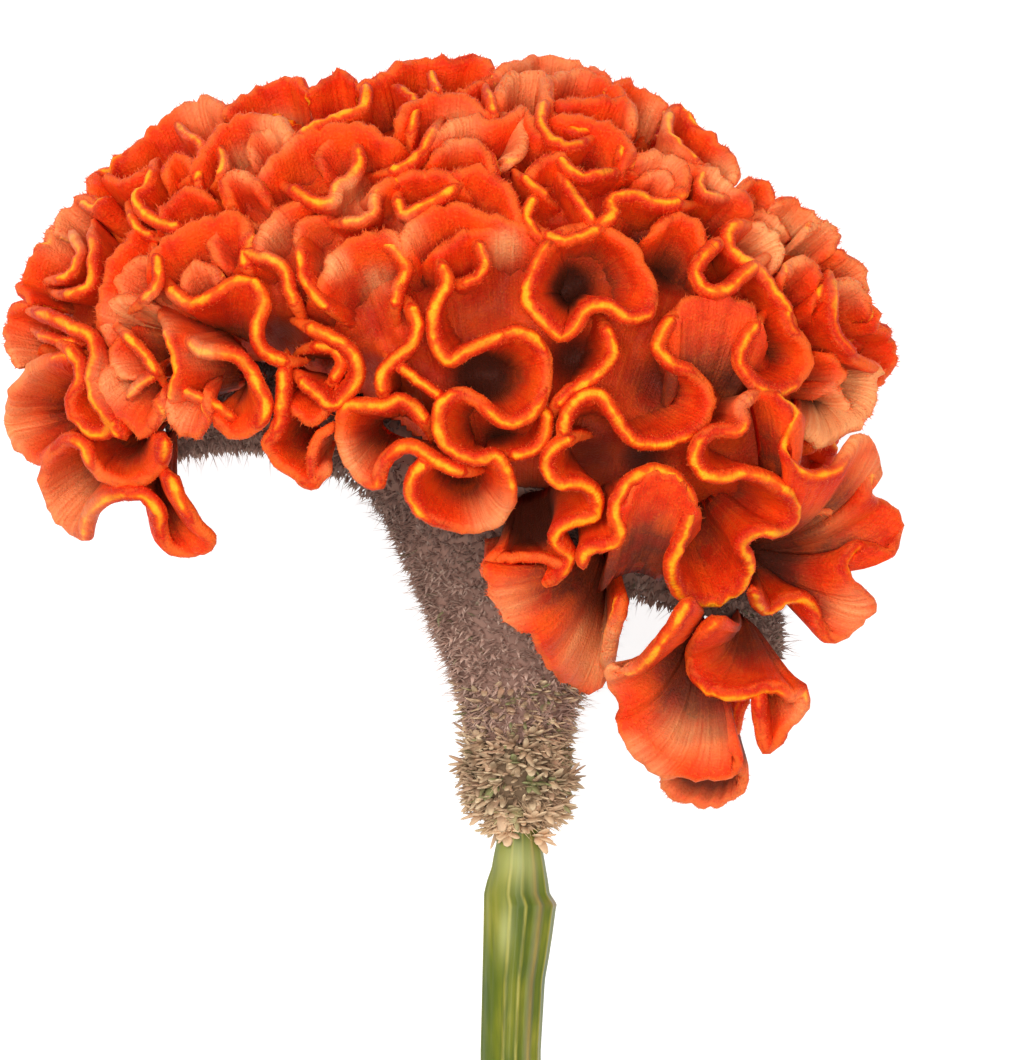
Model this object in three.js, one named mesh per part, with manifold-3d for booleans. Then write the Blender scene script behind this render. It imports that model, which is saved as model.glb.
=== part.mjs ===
// Cockscomb celosia: one cut flower, lying on its back.
//
// A cockscomb is a stem whose growing tip has widened into a long ridge. The ridge grows faster
// than what carries it, so it buckles into folds, as a lettuce leaf's edge does. Every fold here is
// a rim, drawn as a curve across the flower's face, with a fleshy sheet that hangs from it and
// gathers towards the core. The sheets, with a small core that they stand out of, make one body.
//
// Flower frame, millimetres: X to the right, Y up along the stem, Z out of the flower's face. The
// origin is where the green stalk ends and the florets begin. At the end the flower is tipped
// about X, so that its back and the cut end of its stalk both touch the ground, which is z = 0.

import * as THREE from 'three';
import { mergeVertices } from 'three/addons/utils/BufferGeometryUtils.js';
import Module from 'manifold-3d';

const wasm = await Module();
wasm.setup();

// ---- driving dimensions, mm -------------------------------------------------------------------

const GAP = 0.5; // air between pieces that meet

// the dome that the rims lie on
const DOME = { x: -11, y: 78, halfWidth: 76.5, halfHeight: 54, front: 42, back: 35 };
const EDGE_Z = 5; // rims at the outline stand this far in front of the middle plane

// the fleshy sheet under a rim
const SHEET = { tall: 17, gather: 15, rimHalf: 1.7, step: 6.6, droop: 0.018, endDip: 3.5, dipReach: 7 };
const LEAST_BLOCK = 0.05; // mm3, a thinner slice of a sheet is left out

const LEAST_RIM = { face: 9, back: 16 }; // shorter folds are left out
// the back: its outline's share of the face's, and how far out and how low a fold may reach there
const BACK = { inset: 0.94, farthest: 0.85, lowest: 50 };

// the stalk, cut straight across at its lower end
const STEM = { ribs: 11, ribDeep: 0.09, sides: 33, flat: 0.92 }; // ribDeep, flat: shares of a radius
const STEM_BEND = { from: -36, over: 64, by: -9 }; // the lower end droops to the ground

// chaffy florets: three-sided blades, on the neck and, larger, on the collar
const NECK_FLORETS = { count: 350, long: 5.8, wide: 3.3, thick: 1.6, from: 17, to: 72 };
const AIR = 1.15; // a floret is left out where one this much larger would touch a neighbour
const COLLAR_FLORETS = { count: 62, long: 6.2, wide: 4.4, thick: 2.6, from: 1.6, to: 15 };
// how a floret stands: shares of its length outwards and upwards, and how deep and low its root is
const STANCE = { out: 0.68, up: 0.74, rootDeep: 1.2, rootLow: 0.3, lean: 0.15, sway: 0.7 };
const SOWING = { spacing: 0.62, tries: 14, smallest: 0.8, range: 0.4 };

// how many sides the rings of the stalk, its arms and the core's lumps have
const SIDES = { neck: 14, arm: 10 };
const CORE_CUTS = { first: [12, 7], other: [9, 6] };

// how the flower lies
const TILT = THREE.MathUtils.degToRad(6.5);
const REST_HEIGHT = 24.6; // the flower frame's origin stands this high over the ground

// the finest detail that is kept: shorter edges are drawn together, touching corners apart
const SMALL = { edge: 0.8, floretEdge: 0.1, apart: 0.02 };

const SEED = 4171;

// ---- the folds --------------------------------------------------------------------------------
// rim: the points a fold's edge passes through, in the flower frame, as [x, y, x, y, ...].
// shift moves the sheet's foot sideways; root is a point that the sheet gathers to instead, by the
// share pull; lift raises the rim; ring closes the rim on itself; edge marks the comb's outline.

const FOLDS = [
  // the middle of the face
  { rim: [4.5, 99, 1.5, 93.5, 0.5, 89, 3, 85.5, 7, 82.5, 9.5, 84.5, 11, 87, 14.5, 87.7, 18.5, 85.5,
    22, 86.5, 23, 90.5, 21, 95.5, 19.5, 98.3, 14, 101.7, 8, 101.5], ring: true, root: [8, 90.5, 12],
    pull: 0.72, lift: 2 },
  { rim: [15, 84.5, 15.7, 82.5, 16, 80, 14.5, 78, 11, 75.5, 8, 74, 6.5, 72.5] },
  { rim: [7, 68, 8, 72, 11, 74.5, 14, 74, 16, 70, 18.5, 66, 22, 65, 27, 66, 31, 68.5, 32.5, 72.5,
    31, 76, 28, 78, 24.5, 79, 22.5, 81.5, 23, 84, 24.5, 86.5, 24.3, 89.5, 30, 90.5, 36, 90, 39.3,
    88, 38.5, 86, 37, 83.5, 36, 80.5, 36.5, 77.5, 39, 74.8, 42, 73.5, 45.5, 74.5, 48, 77, 48.8, 80,
    47.5, 83, 45.5, 85, 44.5, 87], lift: 1 },
  { rim: [4.8, 71, 5, 68.5, 4.3, 66, 2.5, 64.3, -0.5, 63.5], lift: -1 },
  { rim: [-12, 95, -11.3, 92, -13.5, 89, -14.5, 84, -13.3, 80, -11.3, 78.5, -9, 80.3, -5, 82.5, 0,
    84.7, 4, 82.7, 5.7, 78.5, 4.7, 73, 2, 69.5, -2, 68.5, -5, 71, -7.5, 73.5, -10, 74.5, -13, 73,
    -14, 69.5, -13, 66, -10, 63.7, -6.5, 63, -3.3, 64, -1.5, 62, -0.4, 58, -1, 54.5, -4, 51.8, -8,
    51, -12, 51.7, -16.3, 53.8, -18.3, 57, -18, 60.5, -16, 62.5], lift: 1 },
  { rim: [-15, 70, -16.5, 72, -19, 73.5, -22, 72.5, -25, 72.6, -28.5, 72.5, -30, 68, -29, 63, -26,
    59.3, -23.3, 58.2, -23, 61, -21, 64.3, -18, 65.7, -14.5, 63.8, -11.5, 61.8, -9, 61] },
  { rim: [-6.2, 98.3, -5.1, 95.5, -6.2, 93, -8.5, 92.2], lift: 1 },
  { rim: [-19.5, 98, -18.3, 101.7, -15.3, 104, -10.3, 105.5, -6.5, 104, -1.9, 102.8, 1.2, 102],
    shift: [2, -9] },
  { rim: [-13.4, 97.9, -9.5, 100.5, -5, 101.7, 0, 101.7, 3.5, 99.8], shift: [1, -9], lift: -1 },
  { rim: [-17, 88, -16, 85, -17.3, 81.7, -20, 79.8, -22.5, 77.5, -22.7, 74.5] },
  { rim: [-19, 78, -16, 75.7, -13.3, 73.8] },
  { rim: [-34, 85, -31, 83.7, -28, 82.2, -25.8, 79.5, -25.5, 76, -27, 74, -30, 71.3, -33, 73.5,
    -35.5, 75.7] },
  { rim: [-33, 82, -30, 81.5, -28.8, 79, -30, 76.5], lift: -2 },
  { rim: [-22, 99.3, -18.3, 95.7, -18, 94, -19.5, 91.8, -20.3, 89] },
  { rim: [-33, 92, -31.6, 94.6, -30.5, 97.4, -25.5, 100.2, -21.1, 100.7, -18.5, 99], shift: [4, -9]
    },

  // the sheets that hang in front of the neck, below and right of the middle
  { rim: [8, 66.5, 5, 65, 3.7, 62, 5, 59.5, 7, 58.5, 11, 58.7, 13.3, 57, 13.5, 54, 11, 52.7, 7,
    51.7, 5.5, 49.5, 7, 48, 8.8, 47, 8.3, 45, 5.5, 42.5, 1, 41, -3, 42, -6, 45, -4.5, 46.5, 0, 47.3,
    4, 48], shift: [2, 3] },
  { rim: [-6, 45, -4.5, 40.5, -2, 36.5, 2, 34.3, 4, 30, 7, 27, 11, 25, 14, 26.5, 14.5, 29, 15, 33,
    17, 39], root: [16, 50, 14], pull: 0.85, lift: 3 },
  { rim: [11.5, 41, 10.5, 47.5, 12.5, 48.3, 16, 49, 17, 51, 15.7, 53.8, 16.3, 57, 18, 60, 22, 62,
    26, 61, 29, 57, 28.3, 53, 26.5, 48.5, 24.7, 45, 25.5, 41.5, 28.5, 39, 33, 39, 37, 41.5, 39,
    45.5, 37, 48.5, 38.5, 50.5, 41, 51.3, 44.5, 51.2, 46.7, 53.5, 46.5, 56.5, 43, 59.7, 38, 61, 33,
    59.8, 30, 60.3, 28.2, 63, 29.3, 66.5, 32.3, 68, 35.7, 67.6, 37.6, 69.4, 36.5, 72, 38, 73.5],
    lift: 4 },
  { rim: [43, 74, 45.5, 71.5, 44, 68, 44, 65, 46.5, 62.2, 49.5, 61.5, 53, 63, 55, 66.3, 56.7, 68,
    58.8, 66, 60.3, 63, 58.8, 60, 59.2, 57.5, 62, 56.5, 64, 54.5, 64.3, 51, 62.7, 48.5, 59, 49.8,
    56.5, 49, 55.2, 46.5, 56, 43.5, 58.5, 41.5, 59.8, 40, 58.5, 37, 55.5, 34.3, 53, 33.5, 51, 36,
    49.5, 39.5, 47, 40.3, 44.5, 39.2, 42.3, 38, 40, 38.7, 38.7, 41], root: [43, 48, 0], pull: 0.8,
    lift: 5 },
  { rim: [27, 40, 24.5, 36, 21.5, 32, 19.5, 29.2, 16.5, 28.3, 14.3, 28, 15, 25.5, 16.5, 22.5, 16,
    20, 17, 17, 20, 13, 23.5, 10.5, 23.3, 8.3, 26, 6, 30, 5, 34, 5, 37, 7, 37.7, 9.5, 36, 12], root:
    [32, 40, 8], pull: 0.86, lift: 12 },
  { rim: [23.5, 9.5, 26, 9.3, 30, 9, 34, 9.2, 37, 9.5], root: [31, 40, 3], pull: 0.86, lift: 8 },
  { rim: [32, 37, 29, 34.5, 27.7, 31, 28.5, 27.5, 31, 25, 35, 24.2, 39, 25, 43, 25.3, 46, 24, 47.8,
    24.5, 47, 21.5, 44, 18.5, 42.3, 15.5, 40.5, 15, 39.5, 18.5, 39.3, 24], root: [38, 41, 6], pull:
    0.8, lift: 16 },

  // the lower left edge
  { rim: [-57, 91.5, -54, 89.3, -50, 90.5, -47, 92.7, -44, 93.3, -41.7, 92, -41, 89, -42.3, 86,
    -42.5, 83, -41, 80.7, -38, 79.5] },
  { rim: [-54, 81.5, -51.5, 80.3, -46, 80, -43.5, 78, -42, 75, -40.5, 72, -41.2, 69, -43.5, 67,
    -46.5, 66.3, -49.5, 68.5], lift: 1 },
  { rim: [-54.5, 75, -52, 74, -49.5, 72.7, -47, 71], lift: 1 },
  { rim: [-38.5, 77.5, -38.8, 73, -39.5, 69, -41, 66.5, -42, 66, -40, 62, -37, 60, -34, 58.5, -31,
    61] },
  { rim: [-31, 68.3, -33.3, 66.5, -34.2, 63.5, -34, 60] },
  { rim: [-80, 88, -77, 87, -74, 85.5, -71, 84.5, -69.8, 81.5, -70.5, 78, -71, 75.5, -69, 71, -66,
    67], lift: 2 },
  { rim: [-79.5, 84, -76.5, 83, -74, 82.8] },
  { rim: [-74.5, 81.8, -72.7, 79.5, -73, 76, -74.5, 73.5, -74.5, 71, -72, 68, -69, 66.8, -66.5, 69],
    lift: 2 },
  { rim: [-74, 81, -80, 80, -84, 76, -86.3, 71, -85.5, 67, -83, 64.5, -79.5, 62.5, -76, 65], root:
    [-68, 72, 0], pull: 0.6, lift: 1 },
  { rim: [-57, 66, -57.5, 62.5, -60.5, 59.7, -64.5, 59, -68, 60.2, -70.3, 63, -72, 66, -74.5, 67,
    -77.5, 65, -79.5, 62, -79.5, 57.5, -77.5, 53.5, -74, 50.5, -71.5, 50, -71.3, 53, -68.5, 55.8,
    -64.5, 57.2, -60.5, 56.8, -58.3, 54.5, -58, 51, -56.5, 48.3, -52.5, 47.3, -49.5, 49.3, -52,
    52.5, -54.5, 56.5, -56, 60], root: [-58, 66, 2], pull: 0.72, lift: 3 },
  { rim: [-64, 84, -62, 82, -60, 79.5, -59, 78] },
  { rim: [-59.5, 76.5, -62, 75, -64, 73] },
  { rim: [-69.5, 76.5, -68.5, 72, -65, 69, -62, 66.7, -59.5, 69, -59, 73], root: [-60, 79, 14],
    pull: 0.5 },
  { rim: [-58.5, 72, -57.5, 69.5, -55.5, 67, -53, 66.5, -51, 69, -51.5, 73], root: [-53, 77, 14],
    pull: 0.5 },
  { rim: [-57.8, 73.5, -57, 77, -57.3, 80.5, -58.5, 84] },

  // the upper left
  { rim: [-61.3, 111.5, -62.3, 109, -64, 106.5, -62.5, 104.3, -60, 102.8, -56.5, 101.8] },
  { rim: [-64.7, 104, -63.2, 101.7, -61, 100.5], lift: -1 },
  { rim: [-74, 100.5, -72.8, 98, -73, 96, -74.5, 94, -76.5, 93.3], lift: 1 },
  { rim: [-71, 100, -70.8, 96.5, -71, 93, -72.3, 91.3, -75, 90.7], lift: 1 },
  { rim: [-73.2, 106.7, -71, 105.9, -69.3, 107] },
  { rim: [-68.5, 111, -65, 110.7, -62, 112] },
  { rim: [-57, 119.7, -55, 117.8, -53, 116.7, -52.3, 115] },
  { rim: [-49.5, 115, -48.8, 113, -49.5, 111] },
  { rim: [-58.7, 96.5, -58.3, 93, -59.5, 91, -61, 89.5] },
  { rim: [-65.3, 99.6, -68.1, 95.8, -69.2, 91.3, -69.8, 87.5] },
  { rim: [-61, 96.5, -60.3, 98, -55.4, 101.5, -50.4, 103.5, -45.5, 104, -44, 101, -44.5, 98], shift:
    [0, -10] },
  { rim: [-59.3, 104, -57.6, 106.8, -54.3, 108.5, -52, 107.9], shift: [1, -6] },
  { rim: [-58.7, 111.2, -58.1, 113.4, -56.2, 114.3, -53.7, 112.9, -53.2, 110.7], shift: [0, -4] },
  { rim: [-54, 112, -52.7, 114, -51, 117.3, -47.7, 120, -42.2, 120.8, -39.3, 120, -37.5, 117],
    shift: [2, -7] },
  { rim: [-48.2, 106.3, -48.8, 109.6, -47.1, 111.2, -44.3, 110.2, -41.6, 107.3], shift: [1, -4] },
  { rim: [-37, 107.5, -34, 105.7, -31.5, 105, -30, 106.2, -29.8, 108.5, -28, 109.3, -26.5, 110.5,
    -25.8, 112.5, -26, 114.3], lift: 1 },
  { rim: [-42.1, 111.2, -36.6, 116.8, -31, 118.7, -25.5, 118.7, -20.5, 116.2], shift: [0, -10] },
  { rim: [-25, 125.5, -25.2, 123, -26.5, 121.3, -29, 120.8, -32, 119.6, -35.5, 118], lift: 1 },
  { rim: [-14, 117.7, -15.5, 115, -17.5, 112.5, -20.5, 111.2], lift: 1 },
  { rim: [-10.5, 108.2, -12.5, 106.7, -16, 104.7, -19, 103.3, -20, 105.5], lift: 1 },
  { rim: [-20, 109.5, -22.3, 108.5, -23.7, 106.5, -23.5, 104, -25.5, 102.5, -28.5, 102.2] },
  { rim: [-23, 108.6, -19, 110.5, -12.3, 110.8, -9.5, 109.1], shift: [0, -5] },
  { rim: [-45.3, 95.5, -45.5, 97.5, -44, 97.2, -40, 96.3, -38, 94.5, -37.5, 91.5, -36.8, 89], lift:
    1 },
  { rim: [-36.5, 97, -36, 93, -34.5, 90.5, -32.3, 88], lift: 1 },
  { rim: [-43.5, 97, -42.5, 101, -39.5, 104.5, -36, 106.5], shift: [3, -4] },

  // the upper middle and right
  { rim: [4, 122.3, 3.5, 119.5, 5, 117, 7.5, 115.2, 10.5, 115.8], lift: 1 },
  { rim: [6.8, 120, 9.5, 118, 12, 118.5], lift: -1 },
  { rim: [7, 113, 9, 110.6, 12, 110.2, 15.5, 111], lift: 1 },
  { rim: [17.7, 116.5, 17, 114, 18, 112.3] },
  { rim: [13.8, 102, 15.8, 103.7, 15.2, 106.5, 19, 107.3, 22.5, 105.8, 26.5, 105.7], lift: 1 },
  { rim: [8, 109.2, 10, 106, 12.2, 102.8], lift: 1 },
  { rim: [1.3, 109.7, 3, 108.2, 4.5, 107], lift: 1 },
  { rim: [2.3, 106, 1.2, 103.5, 2, 101.5, 4.3, 99], lift: 1 },
  { rim: [5, 100, 7.3, 99, 10.5, 100, 13, 101.2], lift: 2 },
  { rim: [-4.9, 125, -4, 121.5], lift: 1 },
  { rim: [-14.5, 128.3, -13.3, 125] },
  { rim: [-19, 125.3, -17, 123.3, -17.6, 118] },
  { rim: [-20, 119.5, -18.5, 122, -14.6, 124, -8.9, 123.8, -5.5, 121.5], shift: [0, -6] },
  { rim: [-3.5, 124, -2.2, 127.2, 0.7, 128.3, 4.6, 127.7, 5.2, 123.5], shift: [0, -6] },
  { rim: [-15.1, 115.9, -11.7, 118.7, -7.2, 120.4, -4.4, 119.3, -1, 120.5, 1.2, 121.5, 3.5, 118],
    shift: [0, -6] },
  { rim: [-14, 113.6, -10, 116.4, -5, 114.7, -3.8, 110.8], shift: [0, -5] },
  { rim: [-10, 110.8, -6.7, 111.7, -2.7, 109.7, -0.5, 106.9, 0.7, 102.9], shift: [-3, -6] },
  { rim: [1.8, 110.8, 4, 113.1, 7.4, 113.6, 10.2, 110.8], shift: [0, -4] },
  { rim: [7.4, 120.4, 13, 119.8, 17.6, 117.6, 19.3, 114.8, 18.7, 112], shift: [-4, -6] },
  { rim: [5.2, 127.2, 8.6, 128.8, 13, 128.3, 16.4, 126, 19.3, 122.6], shift: [-2, -6] },
  { rim: [8, 123.2, 13.6, 123.8, 18.7, 123.2, 19.5, 120.4], shift: [-1, -5] },
  { rim: [25.2, 121, 25, 118.5, 26.7, 116, 29.5, 113.8], lift: 1 },
  { rim: [31.3, 112, 30, 109.5, 31, 107.7, 34, 107] },
  { rim: [19.8, 113.6, 24.3, 114.2, 27.7, 112.5, 28.3, 108.6, 26.6, 106.9], shift: [-3, -5] },
  { rim: [28.3, 112.5, 32.2, 111.9, 35.6, 109.1, 39, 106.3], shift: [-3, -6] },
  { rim: [22.6, 101.8, 26, 104, 29.4, 102.9, 31, 99.5], shift: [-1, -6] },
  { rim: [36.5, 102.7, 34.6, 101.8, 34.3, 99.3, 36, 97, 38.3, 96, 39.3, 95.3, 41, 93.3, 43, 90.7,
    45, 87.7], lift: 1 },
  { rim: [32.3, 98.8, 29.7, 96.3, 28.7, 94, 30, 91.3, 32.3, 90.3, 34.7, 91, 37, 93.3, 39.3, 95.3],
    lift: 2 },
  { rim: [44.6, 94.5, 46.3, 96.7, 49.7, 96.2, 50.2, 93.9], shift: [-2, -4] },
  { rim: [48.5, 101.8, 50.2, 103.5, 53.6, 101.2, 53.1, 99], shift: [-3, -4] },
  { rim: [50.2, 90.5, 52.5, 93, 57, 92.8, 59.8, 88.8, 60.4, 86.6], shift: [-4, -4] },
  { rim: [52.5, 93, 52.7, 89.5, 52.3, 87, 53.5, 83.5, 55.2, 81, 58, 79, 60, 78.5], lift: 2 },
  { rim: [60.5, 78, 60, 75, 59, 71.5, 57, 68.8, 53.5, 66.8, 50, 65.2, 47.5, 66.5], root: [50, 78,
    10], pull: 0.6, lift: 1 },

  // the outline, left round to right
  { rim: [-84, 78, -86.3, 84, -85.5, 88.5, -82, 90.5], edge: true },
  { rim: [-82, 89, -83.8, 92.3, -83, 95, -80.5, 99.5, -78.3, 104], edge: true },
  { rim: [-78.5, 101, -76.5, 105.5, -72.5, 108, -70, 106], edge: true },
  { rim: [-72, 107, -71.8, 110.5, -65, 115.5, -61, 119.5, -55.5, 123.5, -51.5, 124, -48, 122.8],
    edge: true },
  { rim: [-50, 121, -45, 125.3, -40, 127.3, -37, 127.5, -34.5, 125.8], edge: true },
  { rim: [-36, 124.5, -32, 127.5, -29, 128.5, -26.5, 126.7], edge: true },
  { rim: [-28, 125, -21, 128.8, -18, 130.2, -11, 130.7, -7, 131, -3, 129], edge: true },
  { rim: [-5, 128, 0, 130.3, 5, 131.5, 8, 131, 14, 128.5, 16, 126.5], edge: true },
  { rim: [14, 126, 19, 127, 23, 124.5, 26, 122.5], edge: true },
  { rim: [24, 122.5, 27, 122.5, 30, 119.5, 34, 115.8, 36.8, 112, 36.3, 109], edge: true },
  { rim: [36, 107.5, 39, 110.3, 41, 110, 43.5, 106], edge: true },
  { rim: [42, 106, 46, 107, 50, 103.5, 53, 102, 54, 99], edge: true },
  { rim: [52.5, 99, 57.8, 95.5, 58.5, 90, 59.5, 86], edge: true },
  { rim: [58, 87, 63, 84.5, 63.8, 82.5, 62.8, 78, 59.5, 75], edge: true, lift: -3 },
];

// the lumps of flesh that the sheets stand out of: centre, then half sizes
const CORE_LUMPS = [
  { at: [-11, 92, 3], half: [66, 31, 29] },
  { at: [-38, 84, 2], half: [36, 19, 24] },
  { at: [6, 68, 20], half: [30, 15, 11] },
  { at: [8, 74, -8], half: [36, 16, 16] },
  { at: [38, 62, 3], half: [19, 17, 16] },
];

// the flower stalk inside the chaff: rings of [y, left, right, half depth]
const NECK_RINGS = [
  [16, -7.2, 7.4, 7], [25, -9.6, 10.4, 7.8], [33, -12.4, 13.6, 8.6], [41, -15, 17.5, 9.4],
  [50, -19, 23, 10.4], [58, -22.5, 27, 11], [64, -20, 24, 9],
];
// its two arms, which carry the ridge out to both sides: [x, y, radius]
const NECK_ARMS = [
  [[-12, 58, 9], [-26, 65, 9], [-40, 69, 8], [-52, 70.5, 7], [-60, 73, 5]],
  [[12, 52, 9], [22, 48.5, 9], [32, 44, 8], [39, 39.5, 7], [42, 36, 5]],
];
const COLLAR_RINGS = [
  [1, -3.4, 3.6, 3.4], [4, -5, 6, 5.2], [9, -7, 7.2, 6.6], [15.7, -7.2, 7.4, 7],
];
// the green stalk: [y, left, right]
const STEM_RINGS = [
  [0.7, -3.3, 3.6], [-3, -3.9, 4.4], [-7, -4.4, 5], [-10.2, -5.2, 6], [-12.5, -5.2, 5.3],
  [-20, -5.6, 4.8],
  [-36, -6, 3.8], [-60, -6, 3.9], [-82, -6.2, 4], [-100, -6.4, 4.2],
];

// ---- small tools ------------------------------------------------------------------------------

function seeded(seed) {
  let state = seed >>> 0;
  return () => {
    state = (state + 0x6d2b79f5) >>> 0;
    let t = state;
    t = Math.imul(t ^ (t >>> 15), t | 1);
    t ^= t + Math.imul(t ^ (t >>> 7), t | 61);
    return ((t ^ (t >>> 14)) >>> 0) / 4294967296;
  };
}

const vec = (x, y, z) => new THREE.Vector3(x, y, z);

// a closed solid from corner points and triangles
function solidFrom(points, triangles) {
  const geometry = new THREE.BufferGeometry();
  const corners = points.flatMap((p) => p.toArray());
  geometry.setAttribute('position', new THREE.Float32BufferAttribute(corners, 3));
  geometry.setIndex(triangles.flat());
  return toManifold(geometry);
}

function toManifold(geometry) {
  const bare = geometry.clone();
  for (const name of Object.keys(bare.attributes)) {
    if (name !== 'position') bare.deleteAttribute(name);
  }
  const merged = mergeVertices(bare, 1e-5);
  return new wasm.Manifold(new wasm.Mesh({
    numProp: 3,
    vertProperties: new Float32Array(merged.attributes.position.array),
    triVerts: new Uint32Array(merged.index.array),
  }));
}

const join = (solids) => wasm.Manifold.union(solids);

// the largest shell of a solid, as points and triangles, without its sealed hollows and loose scraps
function largestShell(solid) {
  const mesh = solid.getMesh();
  const index = mesh.triVerts;
  const owner = Array.from({ length: mesh.vertProperties.length / 3 }, (_, i) => i);
  const find = (i) => {
    while (owner[i] !== i) {
      owner[i] = owner[owner[i]];
      i = owner[i];
    }
    return i;
  };
  for (let i = 0; i < index.length; i += 3) {
    owner[find(index[i])] = find(index[i + 1]);
    owner[find(index[i + 1])] = find(index[i + 2]);
  }
  const shells = new Map();
  for (let i = 0; i < index.length; i += 3) {
    const key = find(index[i]);
    if (!shells.has(key)) shells.set(key, []);
    shells.get(key).push([index[i], index[i + 1], index[i + 2]]);
  }
  const triangles = [...shells.values()].sort((one, other) => other.length - one.length)[0];
  const points = owner.map((_, i) => vec(...mesh.vertProperties.subarray(3 * i, 3 * i + 3)));
  return { points, triangles };
}

const normalOf = (a, b, c) => b.clone().sub(a).cross(c.clone().sub(a));

// draws the ends of each very short edge together, where no face turns over and the shell stays closed
function withoutShortEdges({ points, triangles }, shortest) {
  let faces = triangles;
  for (let pass = 0; pass < 6; pass += 1) {
    const around = new Map();
    faces.forEach((face, f) => face.forEach((v) => {
      if (!around.has(v)) around.set(v, []);
      around.get(v).push(f);
    }));
    const moved = new Set();
    const gone = new Set();
    const rename = new Map();
    for (const face of faces) {
      for (let k = 0; k < 3; k += 1) {
        const [p, q] = [face[k], face[(k + 1) % 3]];
        if (p >= q || moved.has(p) || moved.has(q)) continue;
        if (points[p].distanceTo(points[q]) >= shortest) continue;
        const near = [...around.get(p), ...around.get(q)];
        const ring = (v) => new Set(around.get(v).flatMap((f) => faces[f]));
        const shared = [...ring(p)].filter((v) => v !== p && v !== q && ring(q).has(v));
        if (shared.length !== 2 || near.some((f) => faces[f].some((v) => moved.has(v)))) continue;
        const middle = points[p].clone().add(points[q]).multiplyScalar(0.5);
        const turnsOver = near.some((f) => {
          if (faces[f].includes(p) && faces[f].includes(q)) return false;
          const before = normalOf(...faces[f].map((v) => points[v]));
          const after = normalOf(...faces[f].map((v) => (v === p || v === q ? middle : points[v])));
          return after.length() < 1e-3 || before.normalize().dot(after.normalize()) < 0.5;
        });
        if (turnsOver) continue;
        points[p] = middle;
        rename.set(q, p);
        near.forEach((f) => faces[f].forEach((v) => moved.add(v)));
        near.filter((f) => faces[f].includes(p) && faces[f].includes(q)).forEach((f) => gone.add(f));
      }
    }
    if (!rename.size) break;
    faces = faces.filter((_, f) => !gone.has(f)).map((face) => face.map((v) => rename.get(v) ?? v));
  }
  return { points, triangles: faces };
}

// corners that only touch, where two parts of one shell meet at a point or an edge, are drawn apart
function withoutTouching({ points, triangles }, apart) {
  const normals = new Map();
  triangles.forEach((face) => face.forEach((v) => {
    if (!normals.has(v)) normals.set(v, vec(0, 0, 0));
    normals.get(v).add(normalOf(...face.map((i) => points[i])));
  }));
  const cell = (p) => [p.x, p.y, p.z].map((value) => Math.round(value / apart)).join(',');
  const cells = new Map();
  for (const v of normals.keys()) {
    const key = cell(points[v]);
    if (!cells.has(key)) cells.set(key, []);
    cells.get(key).push(v);
  }
  for (const group of cells.values()) {
    if (group.length < 2) continue;
    group.forEach((v) => points[v].addScaledVector(normals.get(v).normalize(), -apart));
  }
  return { points, triangles };
}

function shapeOf(solid, shortest) {
  const shell = withoutTouching(withoutShortEdges(largestShell(solid), shortest), SMALL.apart);
  const geometry = new THREE.BufferGeometry();
  const corners = shell.triangles.flat().flatMap((v) => shell.points[v].toArray());
  geometry.setAttribute('position', new THREE.Float32BufferAttribute(corners, 3));
  return mergeVertices(geometry, 1e-5);
}

// a closed loft through rings of points, each ring with the same count, ends capped flat
function loft(rings) {
  const sides = rings[0].length;
  const points = rings.flat();
  const triangles = [];
  for (let r = 0; r + 1 < rings.length; r += 1) {
    for (let k = 0; k < sides; k += 1) {
      const a = r * sides + k;
      const b = r * sides + (k + 1) % sides;
      triangles.push([a, b, b + sides], [a, b + sides, a + sides]);
    }
  }
  const last = (rings.length - 1) * sides;
  for (let k = 1; k + 1 < sides; k += 1) {
    triangles.push([0, k + 1, k], [last, last + k, last + k + 1]);
  }
  const solid = solidFrom(points, triangles);
  return solid.volume() > 0 ? solid : solidFrom(points, triangles.map(([a, b, c]) => [a, c, b]));
}

// ---- the comb ---------------------------------------------------------------------------------

// height of the dome over the middle plane at a point of the face
function domeHeight(x, y, side) {
  const u = (x - DOME.x) / DOME.halfWidth;
  const v = (y - DOME.y) / DOME.halfHeight;
  const rise = side > 0 ? DOME.front : DOME.back;
  const dome = rise * Math.sqrt(Math.max(0, 1 - u * u - v * v));
  return Math.hypot(dome, EDGE_Z);
}

// the way into the dome from a point on it
function inward(p, side) {
  const rise = side > 0 ? DOME.front : DOME.back;
  const [across, up] = [(p.x - DOME.x) / DOME.halfWidth ** 2, (p.y - DOME.y) / DOME.halfHeight ** 2];
  return vec(-across, -up, -p.z / rise ** 2).normalize();
}

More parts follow.
